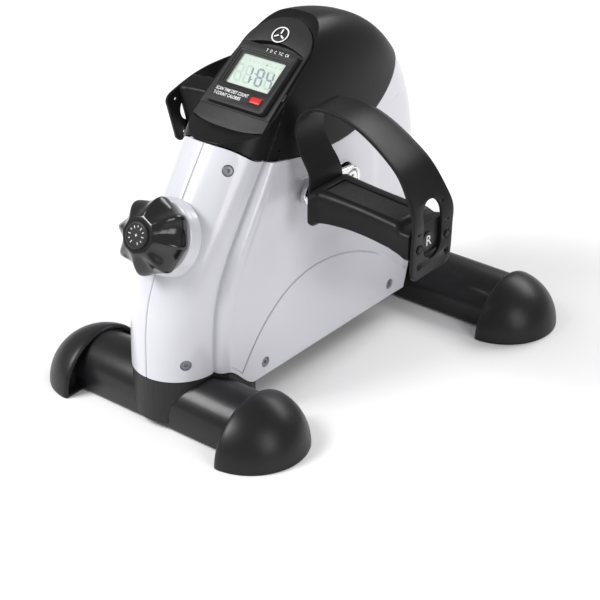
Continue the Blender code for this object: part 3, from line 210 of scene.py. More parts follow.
# colour, roughness and the rest of each finish
FINISHES = {
    "white_plastic": ((0.60, 0.60, 0.645), 0.22, dict(coat=0.35, cloud=(9.0, 0.012),
        grain=(700.0, 0.05, 0.00004), swirl=0.05)),
    "black_gloss": ((0.0085, 0.0085, 0.009), 0.34, dict(cloud=(24.0, 0.10),
        grain=(1500.0, 0.10, 0.00004), swirl=0.03, specular=0.15)),
    "knob_black": ((0.007, 0.007, 0.008), 0.19, dict(coat=0.15, cloud=(30.0, 0.10),
        grain=(1200.0, 0.05, 0.00004), swirl=0.03)),
    "black_satin": ((0.016, 0.016, 0.017), 0.48, dict(cloud=(40.0, 0.10),
        grain=(1600.0, 0.16, 0.00005), specular=0.3)),
    "black_rubber": ((0.010, 0.010, 0.0105), 0.36, dict(cloud=(35.0, 0.12),
        grain=(1300.0, 0.12, 0.00005), swirl=0.04, specular=0.14)),
    "cap_rubber": ((0.010, 0.010, 0.011), 0.36, dict(cloud=(28.0, 0.12), grain=(1400.0, 0.10, 0.00005),
        swirl=0.03, specular=0.28)),
    "tread_rubber": ((0.012, 0.012, 0.012), 0.60, dict(cloud=(60.0, 0.15),
        grain=(1600.0, 0.25, 0.00008), swirl=0.02, specular=0.3)),
    "black_steel": ((0.008, 0.008, 0.009), 0.34, dict(coat=0.1, specular=0.3, coat_rough=0.15,
        cloud=(45.0, 0.14), grain=(650.0, 0.10, 0.00005), swirl=0.10)),
    "chrome": ((0.80, 0.80, 0.81), 0.07, dict(metallic=1.0, cloud=(50.0, 0.03),
        grain=(1800.0, 0.03, 0.00003), swirl=0.04)),
    "bare_steel": ((0.52, 0.52, 0.54), 0.32, dict(metallic=1.0, cloud=(70.0, 0.10),
        grain=(1500.0, 0.15, 0.00005))),
    "grey_plug": ((0.20, 0.20, 0.23), 0.34, dict(metallic=0.3, cloud=(80.0, 0.12),
        grain=(1500.0, 0.12, 0.00005))),
    "felt": ((0.30, 0.24, 0.16), 0.92, dict(cloud=(160.0, 0.25), grain=(1200.0, 0.8, 0.0003), sheen=0.3)),
    "brass": ((0.68, 0.50, 0.20), 0.30, dict(metallic=1.0, cloud=(80.0, 0.08),
        grain=(1400.0, 0.12, 0.00005))),
    "lcd_green": ((0.50, 0.60, 0.52), 0.42, dict(cloud=(60.0, 0.05), grain=(2500.0, 0.06, 0.00003),
        swirl=0.0)),
    "lcd_dark": ((0.05, 0.11, 0.16), 0.42, dict(cloud=(120.0, 0.12), grain=(2500.0, 0.05, 0.00003),
        swirl=0.0)),
    "lcd_ghost": ((0.37, 0.46, 0.41), 0.42, dict(cloud=(120.0, 0.05), grain=(2500.0, 0.05, 0.00003),
        swirl=0.0)),
    "circuit_green": ((0.03, 0.20, 0.09), 0.45, dict(cloud=(200.0, 0.30), grain=(1800.0, 0.2, 0.00006))),
    "red_button": ((0.55, 0.012, 0.014), 0.32, dict(coat=0.2, cloud=(90.0, 0.08),
        grain=(1500.0, 0.08, 0.00005))),
    "print_white": ((0.72, 0.72, 0.72), 0.45, dict(cloud=(200.0, 0.05), grain=(2000.0, 0.08, 0.00003),
        swirl=0.0)),
}
# cell scale and strength of the moulded-in pebbles
PEBBLES = {
    "black_gloss": (1100.0, 0.06),
    "black_satin": (1300.0, 0.10),
    "cap_rubber": (1200.0, 0.07),
}
MATERIALS = {name: finish_of(name, colour, rough, **more) for name, (colour, rough, more) in FINISHES.items()}
for pebble_name, (pebble_scale, pebble_strength) in PEBBLES.items():
    leather_grain(MATERIALS[pebble_name], pebble_scale, pebble_strength)


def make_lens():
    """Thin clear window, slightly clouded."""
    made = finish_of("clear_lens", (0.90, 0.94, 0.92), 0.06, cloud=(40.0, 0.02),
                     grain=(900.0, 0.02, 0.00003))
    shader = made.node_tree.nodes["Principled BSDF"]
    shader.inputs["Alpha"].default_value = 0.12
    return made


MATERIALS["clear_lens"] = make_lens()


# ---------------------------------------------------------------- mesh helpers
def new_object(name, mesh_data, material, smooth=35.0):
    """Object from a bmesh given in world space."""
    bmesh.ops.recalc_face_normals(mesh_data, faces=mesh_data.faces)
    if mesh_data.calc_volume(signed=True) < 0.0:
        bmesh.ops.reverse_faces(mesh_data, faces=mesh_data.faces)
    mesh = bpy.data.meshes.new(name)
    mesh_data.to_mesh(mesh)
    mesh_data.free()
    item = bpy.data.objects.new(name, mesh)
    bpy.context.scene.collection.objects.link(item)
    mesh.materials.append(MATERIALS[material])
    shade(item, smooth)
    return item


def shade(item, smooth):
    """Smooth shading that keeps edges sharper than the given angle."""
    item.data.shade_smooth()
    item.data.set_sharp_from_angle(angle=math.radians(smooth))


def carve(item, steps, bevel=0.0, bevel_angle=35.0, smooth=35.0, segments=3):
    """Boolean steps of (bmesh, operation), then a bevel; everything is applied and the guides go."""
    guides = []
    for cutter, operation in steps:
        guide = new_object("guide", cutter, "bare_steel")
        modifier = item.modifiers.new("step", "BOOLEAN")
        modifier.operation = operation
        modifier.solver = "EXACT"
        modifier.object = guide
        guides.append(guide)
    if bevel > 0.0:
        modifier = item.modifiers.new("edge", "BEVEL")
        modifier.width = bevel
        modifier.segments = segments
        modifier.limit_method = "ANGLE"
        modifier.angle_limit = math.radians(bevel_angle)
        modifier.harden_normals = False
        modifier.use_clamp_overlap = True
    bpy.context.view_layer.update()
    mesh = bpy.data.meshes.new_from_object(item.evaluated_get(bpy.context.evaluated_depsgraph_get()))
    item.modifiers.clear()
    old = item.data
    item.data = mesh
    bpy.data.meshes.remove(old)
    for guide in guides:
        bpy.data.objects.remove(guide, do_unlink=True)
    shade(item, smooth)
    return item


def settle(item, body, slot_name, *nodes):
    """Rides the piece on its body and lets it stand for CAD nodes."""
    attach(item, body)
    if nodes:
        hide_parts(*nodes)
    return item


def loft(mesh_data, rings, cap=True, closed=False):
    """Bridges rings of equal length, capped at both ends or closed from the last to the first."""
    made = [[mesh_data.verts.new(point) for point in ring] for ring in rings]
    count = len(rings[0])
    for lower, upper in zip(made, made[1:] + made[:1] if closed else made[1:]):
        for i in range(count):
            j = (i + 1) % count
            mesh_data.faces.new((lower[i], lower[j], upper[j], upper[i]))
    if cap and not closed:
        mesh_data.faces.new(made[0])
        mesh_data.faces.new(made[-1])
    return made


def prism_x(outline, x0, x1):
    """Solid from a (y, z) outline."""
    made = bmesh.new()
    loft(made, [[(x, y, z) for y, z in outline] for x in (x0, x1)])
    return made


def block(low, high, carrier=None):
    """Box between two corners, carried by a matrix."""
    made = bmesh.new()
    outline = [(low[0], low[1]), (high[0], low[1]), (high[0], high[1]), (low[0], high[1])]
    rings = [[Vector((x, y, z)) for x, y in outline] for z in (low[2], high[2])]
    if carrier is not None:
        rings = [[carrier @ point for point in ring] for ring in rings]
    loft(made, rings)
    return made


def axis_frame(origin, direction):
    """Matrix whose Z is the direction."""
    z_axis = Vector(direction).normalized()
    side = Vector((0.0, 0.0, 1.0)) if abs(z_axis.x) > 0.95 else X_AXIS
    x_axis = (side - z_axis * z_axis.dot(side)).normalized()
    y_axis = z_axis.cross(x_axis)
    made = Matrix((x_axis, y_axis, z_axis)).transposed().to_4x4()
    made.translation = Vector(origin)
    return made


def circle(radius, count):
    """Points of a circle."""
    return [(radius * math.cos(2.0 * math.pi * i / count), radius * math.sin(2.0 * math.pi * i / count))
            for i in range(count)]


def turned(carrier, profile, count=48):
    """Solid turned from (radius, height) points."""
    made = bmesh.new()
    loft(made, [[carrier @ Vector((x, y, h)) for x, y in circle(r, count)] for r, h in profile])
    return made


def along_route(route, t):
    """Smooth point between the stations of a route."""
    index = min(int(t), len(route) - 2)
    f = t - index
    a, b, c, d = [np.array(route[min(max(index + k, 0), len(route) - 1)]) for k in (-1, 0, 1, 2)]
    return 0.5 * (2 * b + (c - a) * f + (2 * a - 5 * b + 4 * c - d) * f * f + (3 * b - a - 3 * c + d)
                  * f ** 3)


def bore(centre, direction, radius, start, end, count=32):
    """Step that cuts a round hole along a direction from a centre."""
    return turned(axis_frame(centre, direction), [(radius, start), (radius, end)], count), CUT


def smoothstep(low, high, value):
    """0 below low, 1 above high, smooth between; works on numbers and arrays."""
    t = np.clip((value - low) / (high - low), 0.0, 1.0)
    return t * t * (3.0 - 2.0 * t)


def mix(a, b, t):
    """Linear blend."""
    return a + (b - a) * t


def curve_value(points, value):
    """Smooth curve through a few points, for arrays."""
    value = np.asarray(value, float)
    result = np.full(value.shape, points[0][1])
    for (a, fa), (b, fb) in zip(points, points[1:]):
        t = np.clip((value - a) / (b - a), 0.0, 1.0)
        part = mix(fa, fb, smoothstep(0.0, 1.0, t) * 0.35 + t * 0.65)
        result = np.where(value > a, part, result)
    return result


def joined(name, items):
    """Joins meshes of several objects into the first one."""
    base = bmesh.new()
    for item in items:
        base.from_mesh(item.data)
    base.to_mesh(items[0].data)
    base.free()
    for item in items[1:]:
        bpy.data.objects.remove(item, do_unlink=True)
    items[0].name = name
    return items[0]


# ---------------------------------------------------------------- housing
def nose_axis_y(z):
    """Centre of the nose column."""
    return -0.1475 + 0.0112 * np.log1p(np.exp((z - 0.118) / 0.016))


def dome_share(z):
    """How much of the dome's section is left at a height."""
    return np.maximum(1.0 - (np.maximum(z - DOME_BASE_Z, 0.0) / DOME_RISE) ** DOME_POWER, 0.0001)


def split_z(y):
    """Joint between the housing and the cover."""
    steep = np.where(y > SPLIT_Y, 2.9, 1.4)
    return SPLIT_Z + steep * (y - SPLIT_Y) ** 2 + 0.0075 * smoothstep(0.086, 0.106, -y)


def bottom_z(y):
    """Lower edge of the housing."""
    front = 1.0 - smoothstep(-0.140, -0.104, y)
    rear = smoothstep(0.108, 0.121, y)
    lifted = PANEL_BOTTOM_Z + (NOSE_BOTTOM_Z - PANEL_BOTTOM_Z) * front
    return lifted + (REAR_BOTTOM_Z - PANEL_BOTTOM_Z) * rear


def arch_z(y):
    """Moulded arch on the side panel."""
    d = y + 0.020
    return 0.0995 - np.where(d > 0.0, 3.4, 3.6) * d ** 2 - np.where(d > 0.0, 0.0, 25.5) * np.abs(d) ** 3


def outline_points(kind, t, z, inset):
    """x and y of every outline point at its height; kind names the stretch and t the place in it."""
    centre = nose_axis_y(z)
    radius = NOSE_RADIUS - inset
    share = dome_share(z)
    side = SIDE_X * share ** (1.0 / DOME_SIDE_POWER) - inset
    tip = np.where(z < DOME_BASE_Z, curve_value(REAR_TIP_LOW, z), DOME_REAR * np.sqrt(share)) - inset
    flat_end = curve_value(REAR_FLAT_END, z)
    flank = side - radius
    start = centre + 0.0024 + inset + flank * 1.1
    angle = 0.5 * math.pi * t
    x = np.select(
        [kind == 0, kind == 1, kind == 2, kind == 3, kind == 4],
        [radius * np.sin(angle), radius - 0.0016 * np.sin(math.pi * t) ** 0.5,
         radius + flank * np.sin(angle),
         side, side * np.maximum(np.cos(angle), 0.0) ** (2.0 / DOME_POWER)])
    y = np.select(
        [kind == 0, kind == 1, kind == 2, kind == 3, kind == 4],
        [centre - radius * np.cos(angle), centre + 0.0024 * t,
         centre + 0.0024 + inset + flank * (1.0 - np.cos(angle)) * 1.1,
         mix(start, flat_end, t), flat_end + (tip - flat_end) * np.sin(angle)])
    return x, y, start


def outline_kinds():
    """Kind and place of each outline point, from the nose's middle to the rear's middle."""
    kind, t = [], []
    for k, places in ((0, np.concatenate(([0.0, 0.010, 0.022], np.linspace(0.045, 0.985, 34)))),
                      (1, np.linspace(0.0, 1.0, 9)), (2, np.linspace(0.05, 1.0, 14)),
                      (3, np.linspace(0.012, 1.0, 84)),
                      (4, np.concatenate((np.linspace(0.03, 0.97, 56), [0.982, 0.992, 1.0])))):
        kind += [k] * len(places)
        t += list(places)
    return np.array(kind), np.array(t)


def level_plan():
    """(segment, place, edge inset) of each row: lower edge to arch, arch to band, band to joint."""
    rows = [(0, 0.0, 0.0007), (0, 0.02, 0.0)]
    rows += [(0, f, 0.0) for f in np.linspace(0.09, 0.95, 12)] + [(0, 1.0, 0.0)]
    rows += [(3, 0.0, 0.0), (3, 1.0, 0.0)]
    rows += [(1, f, 0.0) for f in np.concatenate(([0.0], np.linspace(0.02, 0.98, 54), [1.0]))]
    rows += [(2, f, 0.0) for f in np.concatenate(([0.0], np.linspace(0.08, 0.93, 12), [0.985]))]
    return rows + [(2, 1.0, 0.0007)]


def housing_grid(inset):
    """Surface points of the right housing half as rows of an array."""
    kind, t = outline_kinds()
    rows = level_plan()
    grid = np.zeros((len(rows), len(kind), 3))
    for r, (segment, place, edge) in enumerate(rows):
        z = np.full(len(kind), 0.12)
        for _ in range(8):
            x, y, start = outline_points(kind, t, z, inset + edge)
            low, top = bottom_z(y), split_z(y) - HOOD_GAP
            arch = np.maximum(arch_z(y), low + 0.0045)
            band = np.minimum(0.2070, top - 0.0050)
            if segment == 0:
                z = mix(low, arch - 0.0010, place)
            elif segment == 3:
                z = mix(arch - 0.0007, arch + 0.0004, place)
            elif segment == 1:
                z = mix(arch + 0.0008, band - 0.0005, place)
            else:
                z = mix(band + 0.0005, top, place)
        on_side = smoothstep(0.020, 0.040, x) * smoothstep(0.0, 0.008, y - start + 0.002)
        dip = (0.0007 + 0.0020 * smoothstep(0.020, 0.115, y)) * (segment > 0)
        dip = dip + 0.0013 * smoothstep(0.0600, 0.0760, y) * (segment == 1) + 0.0010 * (segment == 3)
        x = x - dip * on_side
        seam = (np.arange(len(kind)) < 3) | (np.arange(len(kind)) >= len(kind) - 3)
        x = np.where(seam, np.maximum(x, SEAM_GAP), x)
        if inset == 0.0:
            y[:2] += (0.0009, 0.0003)
            y[-1] -= 0.0009
        grid[r] = np.stack((x, y, z), 1)
    return grid


def build_housing():
    """Both housing halves: side arch, groove beside the nose, band under the cover, boss and screw seats."""
    outer, inner = housing_grid(0.0), housing_grid(SHELL_WALL)
    rows, count = outer.shape[:2]
    loops = np.concatenate((outer, inner[:, ::-1]), 1)
    around = loops.shape[1]
    quads = []
    for r in range(rows - 1):
        for i in range(around):
            j = (i + 1) % around
            quads.append((r * around + i, r * around + j, (r + 1) * around + j, (r + 1) * around + i))
    for r in (0, rows - 1):
        for i in range(count - 1):
            base = r * around
            quads.append((base + i, base + i + 1, base + around - 2 - i, base + around - 1 - i))
    for name, side in SIDES:
        points = loops.reshape(-1, 3) * np.array([side, 1.0, 1.0])
        mesh = bpy.data.meshes.new("half")
        mesh.from_pydata(points.tolist(), [], quads)
        half = bmesh.new()
        half.from_mesh(mesh)
        bpy.data.meshes.remove(mesh)
        item = new_object("shell_" + name, half, "white_plastic")
        steps = [(boss_half(side), JOIN), bore((0.0, CRANK_Y, CRANK_Z), X_AXIS, 0.0135, -0.07, 0.07, 48)]
        if side > 0.0:
            for _, point, facing in SCREW_SEATS:
                start = point - facing.normalized() * 0.008
                steps.append(bore(start, facing, SCREW_RADIUS + GAP, 0.0, 0.02))
        carve(item, steps, smooth=28.0)
        settle(item, "base", "white_plastic", "housing_" + name)


def boss_half(side):
    """Half of the round boss that the knob turns on, with a soft flare at its root."""
    carrier = axis_frame(KNOB_BASE - KNOB_DIR * 0.016, KNOB_DIR)
    profile = [(0.0050, 0.0120), (0.0330, 0.0120), (0.0322, 0.0150), (0.0312, 0.0172), (0.0306, 0.0190),
               (BOSS_RADIUS - 0.0003, 0.0205), (BOSS_RADIUS - 0.0010, 0.0213),
               (BOSS_RADIUS - 0.0022, 0.0216), (0.0050, 0.0216)]
    made = bmesh.new()
    rings = []
    for i in range(41):
        angle = -0.5 * math.pi + math.pi * i / 40
        ring = []
        for radius, height in profile:
            x = max(radius * math.cos(angle), SEAM_GAP)
            ring.append(carrier @ Vector((side * x, side * radius * math.sin(angle), height)))
        rings.append(ring)
    loft(made, rings)
    return made


def build_screws():
    """Sunk screws with a hexagonal socket."""
    for name, point, facing in SCREW_SEATS:
        carrier = axis_frame(point, facing)
        profile = [(0.0017, -0.0150), (0.0017, -0.0026), (SCREW_RADIUS, -0.0024), (SCREW_RADIUS, -0.0013),
                   (SCREW_RADIUS - 0.0005, -0.0009), (SCREW_RADIUS - 0.0014, -0.0006)]
        head = new_object("seen_" + name, turned(carrier, profile, 40), "grey_plug")
        socket = turned(carrier, [(0.0017, -0.0020), (0.0017, 0.005)], 6)
        carve(head, [(socket, CUT)], bevel=0.00015)
        settle(head, "base", "grey_plug", name)


# ---------------------------------------------------------------- cover
def dome(inset, low_drop, levels, front, rear_steps):
    """Closed dome from rings; the nose column limits its front."""
    made = bmesh.new()
    rings = []
    grow = COVER_OVERHANG - inset
    for k in range(levels + 1):
        z = 0.1960 + (0.3057 - 0.1960) * math.sin(0.5 * math.pi * k / levels) ** 1.25
        share = float(dome_share(z))
        side = SIDE_X * share ** (1.0 / DOME_SIDE_POWER) + grow
        rear = DOME_REAR * math.sqrt(share) + grow
        radius = NOSE_RADIUS + grow
        z -= inset
        centre = float(nose_axis_y(z))
        half = []
        for i in range(front):
            angle = 0.5 * math.pi * i / front
            x = side * math.sin(angle) ** (2.0 / DOME_SIDE_POWER)
            nose_y = centre - math.sqrt(max(radius ** 2 - x ** 2, 0.0)) + max(x - radius, 0.0) ** 2 * 110.0
            half.append((x, max(-rear * math.cos(angle), min(nose_y, -0.004))))
        for i in range(rear_steps + 1):
            angle = 0.5 * math.pi * i / rear_steps
            half.append((side * max(math.cos(angle), 0.0) ** (2.0 / DOME_POWER), rear * math.sin(angle)))
        ring = half + [(-x, y) for x, y in half[1:-1]][::-1]
        rings.append([(x, y, z - (low_drop if k == 0 else 0.0)) for x, y in ring])
    loft(made, rings)
    return made


def build_cover():
    """Black dome with the flat for the counter, the ledge below it and a small vent hole."""
    item = new_object("seen_top_cover", dome(0.0, 0.002, 64, 60, 56), "black_gloss")
    flats = []
    for drop in (0.0, COVER_WALL):
        top = console_point(0.0, -0.0600, COVER_FLAT - drop)
        outline = [(top.y, top.z)] + [(y, z - drop) for y, z in LEDGE]
        flats.append(prism_x(outline + [(LEDGE[-1][0], 0.36), (top.y, 0.36)], -0.09, 0.09))
    hollow = new_object("hollow", dome(COVER_WALL, 0.03, 20, 20, 18), "black_gloss")
    carve(hollow, [(flats[1], CUT)])
    inside = bmesh.new()
    inside.from_mesh(hollow.data)
    bpy.data.objects.remove(hollow, do_unlink=True)
    ys = [-0.1410 + i * 0.00146 for i in range(206)]
    trim = prism_x([(ys[0], 0.15)] + [(y, float(split_z(y))) for y in ys] + [(ys[-1], 0.15)], -0.08, 0.08)
    seat = bmesh.new()
    loft(seat, [[console_point(x, d, out) for x, d in holder_outline(-GAP, 64)] for out in (-0.0203, 0.03)])
    steps = [(cutter, CUT) for cutter in (flats[0], inside, trim, seat)]
    steps.append(bore((0.040, -0.0640, 0.2190), (1.0, -0.35, 0.1), 0.0011, 0.0, 0.02, 20))
    carve(item, steps, bevel=0.0007, bevel_angle=32.0, smooth=40.0)
    settle(item, "base", "black_gloss", "top_cover")


# ---------------------------------------------------------------- counter and holder
def console_point(x, down, out):
    """World point from counter coordinates."""
    return CONSOLE_TOP + X_AXIS * x + CONSOLE_DOWN * down + CONSOLE_OUT * out


def console_prism(outline, out0, out1):
    """Solid from an (across, down) outline between two heights over the face."""
    made = bmesh.new()
    loft(made, [[console_point(x, down, out) for x, down in outline] for out in (out0, out1)])
    return made


def rounded_rectangle(x0, x1, y0, y1, radius, steps=8):
    """Rectangle with round corners."""
    points = []
    for cx, cy, turn in ((x1 - radius, y1 - radius, 0.0), (x0 + radius, y1 - radius, 0.5),
                         (x0 + radius, y0 + radius, 1.0), (x1 - radius, y0 + radius, 1.5)):
        for i in range(steps + 1):
            angle = math.pi * (turn + 0.5 * i / steps)
            points.append((cx + radius * math.cos(angle), cy + radius * math.sin(angle)))
    return points


def console_block(x0, x1, down0, down1, radius, out0, out1):
    """Round-cornered block on the counter."""
    return console_prism(rounded_rectangle(x0, x1, down0, down1, radius), out0, out1)


def holder_outline(inset, steps):
    """Arch-topped plate with a bowed lower lip."""
    half = HOLDER_HALF - inset
    points = [(half * math.cos(math.pi * i / steps), -half * math.sin(math.pi * i / steps))
              for i in range(steps + 1)]
    foot = half + HOLDER_FLARE
    for i in range(41):
        t = -1.0 + 2.0 * i / 40
        points.append((foot * t, HOLDER_LIP - inset - 0.0050 * abs(t) ** 2.6))
    return points


def build_holder():
    """Plate under the counter: raised head with a bowed edge, pocket, side catch and lower lip."""
    plate = console_prism(holder_outline(0.0, 64), -0.020, -0.0016)
    item = new_object("seen_console_holder", plate, "black_satin")
    half = CONSOLE_HALF + GAP
    pocket = console_block(-half, half, -GAP, CONSOLE_LENGTH + GAP, 0.004, -0.0125, 0.02)
    bow = [(-half + 0.0606 * i / 24, -0.0012 - 0.0068 * (1.0 - (i / 12.0 - 1.0) ** 2)) for i in range(25)]
    notch = console_prism(bow + [(half, 0.004), (-half, 0.004)], -0.0070, 0.02)
    foot = CONSOLE_LENGTH + 0.0020
    slope = console_prism([(-0.045, foot), (0.045, foot), (0.045, 0.1), (-0.045, 0.1)], -0.0026, 0.02)
    catch = console_block(0.0335, 0.0375, 0.0350, 0.0420, 0.001, -0.0070, -0.0022)
    carve(item, [(catch, JOIN), (pocket, CUT), (notch, CUT), (slope, CUT)],
          bevel=0.0005, bevel_angle=32.0, smooth=40.0)
    settle(item, "base", "black_satin", "console_holder")


def build_counter():
    """Counter bezel with a stepped window, display, printed marks, badge and button."""
    face = console_block(-CONSOLE_HALF, CONSOLE_HALF, 0.0, CONSOLE_LENGTH, 0.0035, -0.0060, 0.0030)
    bezel = new_object("seen_console_front", face, "black_satin")
    (x0, x1), (down0, down1) = BUTTON_X, BUTTON_DOWN
    cuts = (
        (-0.0282, 0.0282, 0.0018, 0.0592, 0.0025, -0.02, 0.0),
        (-0.0272, 0.0272, 0.0074, 0.0446, 0.0026, 0.0022, 0.02),
        (-0.0250, 0.0250, 0.0092, 0.0428, 0.0018, 0.0013, 0.02),
        (-WINDOW_X, WINDOW_X, WINDOW_TOP, WINDOW_BOTTOM, 0.001, -0.02, 0.02),
        (x0 - GAP, x1 + GAP, down0 - GAP, down1 + GAP, 0.0008, -0.02, 0.02),
    )
    carve(bezel, [(console_block(*cut), CUT) for cut in cuts], bevel=0.0006, bevel_angle=32.0, smooth=40.0)
    settle(bezel, "base", "black_gloss", "console_front")
    shape = console_block(x0, x1, down0, down1, 0.0006, -0.0022, 0.0046)
    button = new_object("seen_reset_button", shape, "red_button")
    carve(button, [], bevel=0.0005, bevel_angle=40.0)
    settle(button, "reset_button", "red_button", "reset_button")
    build_display()
    marks = [console_text("T   D   C   T-C   CA", 0.0095, 0.0040, 0.0040, 0.0030),
             console_text("SCAN TIME DIST COUNT", -0.0085, 0.0492, 0.0043, 0.0030),
             console_text("T-COUNT CALORIES", -0.0112, 0.0537, 0.0043, 0.0030)]
    settle(joined("seen_counter_print", marks), "base", None)
    ring = bmesh.new()
    badge = console_point(-0.002, -0.0150, -0.0007)
    carrier = axis_frame(badge, CONSOLE_OUT)
    rings = [[carrier @ Vector((x, y, h)) for x, y in circle(r, 56)]
             for r, h in ((0.0080, 0.0), (0.0080, 0.00012), (0.0068, 0.00012), (0.0068, 0.0))]
    loft(ring, rings, closed=True)
    mark = new_object("badge", ring, "print_white")
    bars = [mark]
    for turn in (0.0, 1.0, 2.0):
        arm = block((-0.0007, 0.0012, 0.0), (0.0007, 0.0056, 0.00012),
                    carrier @ Matrix.Rotation(math.radians(120.0) * turn, 4, "Z"))
        bars.append(new_object("arm", arm, "print_white"))
    settle(joined("seen_badge", bars), "base", None)


def console_text(words, x, down, size, out):
    """Flat generic lettering on the counter's face."""
    return text_mesh(words, size, Matrix((X_AXIS, -CONSOLE_DOWN, CONSOLE_OUT)).transposed().to_4x4(),
                     console_point(x, down, out), "print_white", 0.70, 0.00006)


def text_mesh(words, size, turn, place, material, squeeze=1.0, weight=0.0):
    """Extruded lettering as a mesh, centred on a point."""
    curve = bpy.data.curves.new("words", "FONT")
    curve.body = words
    curve.size = size
    curve.extrude = 0.00008
    curve.offset = weight
    curve.align_x = "CENTER"
    curve.align_y = "CENTER"
    holder = bpy.data.objects.new("words", curve)
    bpy.context.scene.collection.objects.link(holder)
    bpy.context.view_layer.update()
    mesh = bpy.data.meshes.new_from_object(holder.evaluated_get(bpy.context.evaluated_depsgraph_get()))
    bpy.data.objects.remove(holder, do_unlink=True)
    mesh.transform(Matrix.Scale(squeeze, 4, X_AXIS))
    matrix = turn.copy()
    matrix.translation = place
    mesh.transform(matrix)
    mesh.materials.clear()
    mesh.materials.append(MATERIALS[material])
    item = bpy.data.objects.new("words", mesh)
    bpy.context.scene.collection.objects.link(item)
    return item


SEGMENTS = {"a": (0, 1), "b": (1, 1), "c": (1, 0), "d": (0, -1), "e": (-1, 0), "f": (-1, 1), "g": (0, 0)}
DIGITS = {"8": "abcdefg", "1": "bc", "4": "fgbc"}
DIGIT_W, DIGIT_H, STROKE = 0.0080, 0.0172, 0.0019
LCD_LAYER = (-0.00028, -0.00018)


def segment_outline(letter):
    """Six-cornered stroke of a seven-segment digit, about the digit's middle."""
    half = 0.5 * STROKE
    if letter in "adg":
        y = {"a": 1.0, "g": 0.0, "d": -1.0}[letter] * (0.5 * DIGIT_H - half)
        w = 0.5 * DIGIT_W - STROKE - 0.0002
        return [(-w - half, y), (-w, y + half), (w, y + half), (w + half, y), (w, y - half), (-w, y - half)]
    side, top = SEGMENTS[letter]
    x = side * (0.5 * DIGIT_W - half)
    y0, y1 = (0.0003, 0.5 * DIGIT_H - half - 0.0002) if top else (-0.5 * DIGIT_H + half + 0.0002, -0.0003)
    return [(x, y0), (x + half, y0 + half), (x + half, y1 - half), (x, y1), (x - half, y1 - half),
            (x - half, y0 + half)]


def strokes(letters, centre, down):
    """Solids of the strokes of one digit, slanted a little."""
    made = bmesh.new()
    for letter in letters:
        outline = [(centre + x - 0.28 * y, down - y) for x, y in segment_outline(letter)]
        loft(made, [[console_point(x, d, out) for x, d in outline] for out in LCD_LAYER])
    return made


def build_display():
    """Display: a faint 8 in every place, the dark figures 1, 8 and 4, and a row of small pointers."""
    ghost, dark = [], []
    for place, figure in ((-0.0170, ""), (-0.0072, "1"), (0.0048, "8"), (0.0150, "4")):
        lit = DIGITS.get(figure, "")
        rest = [letter for letter in "abcdefg" if letter not in lit]
        if rest:
            ghost.append(new_object("ghost", strokes(rest, place, 0.0285), "lcd_ghost"))
        if lit:
            dark.append(new_object("dark", strokes(lit, place, 0.0285), "lcd_dark"))
    for down in (0.0262, 0.0322):
        dot = console_block(-0.0020, -0.0008, down - 0.0006, down + 0.0006, 0.0003, *LCD_LAYER)
        dark.append(new_object("dot", dot, "lcd_dark"))
    for i in range(9):
        x = -0.0185 + 0.0046 * i
        tick = console_prism([(x - 0.0011, 0.0162), (x + 0.0011, 0.0162), (x, 0.0143)], *LCD_LAYER)
        group, finish = (dark, "lcd_dark") if i == 5 else (ghost, "lcd_ghost")
        group.append(new_object("tick", tick, finish))
    settle(joined("seen_display_faint", ghost), "base", None)
    settle(joined("seen_display_figures", dark), "base", None)


# ---------------------------------------------------------------- feet
def bar_outline(grow, steps, bottom):
    """Foot bar section in (y, z) about its middle."""
    radius = BAR_RADIUS + grow
    points = [(radius * math.cos(math.pi * i / steps), BAR_AXIS_Z + radius * math.sin(math.pi * i / steps))
              for i in range(steps + 1)]
    return points + [(-radius, bottom - grow), (radius, bottom - grow)]


def build_bars():
    """Painted steel bars."""
    for name, y, half in (("front_foot_bar", -FOOT_Y, FRONT_CAP_X + CAP_RECESS - GAP),
                          ("rear_foot_bar", FOOT_Y, REAR_CAP_X + CAP_RECESS - GAP)):
        rings = []
        for x, grow in ((-half, 0.0), (half, 0.0), (half, -BAR_WALL), (-half, -BAR_WALL)):
            rings.append([(x, y + py, pz) for py, pz in bar_outline(grow, 72, BAR_BOTTOM_Z)])
        made = bmesh.new()
        loft(made, rings, closed=True)
        item = new_object("seen_" + name, made, "black_steel", smooth=30.0)
        carve(item, [], bevel=0.0008, bevel_angle=50.0, smooth=40.0)
        settle(item, "base", "black_steel", name)


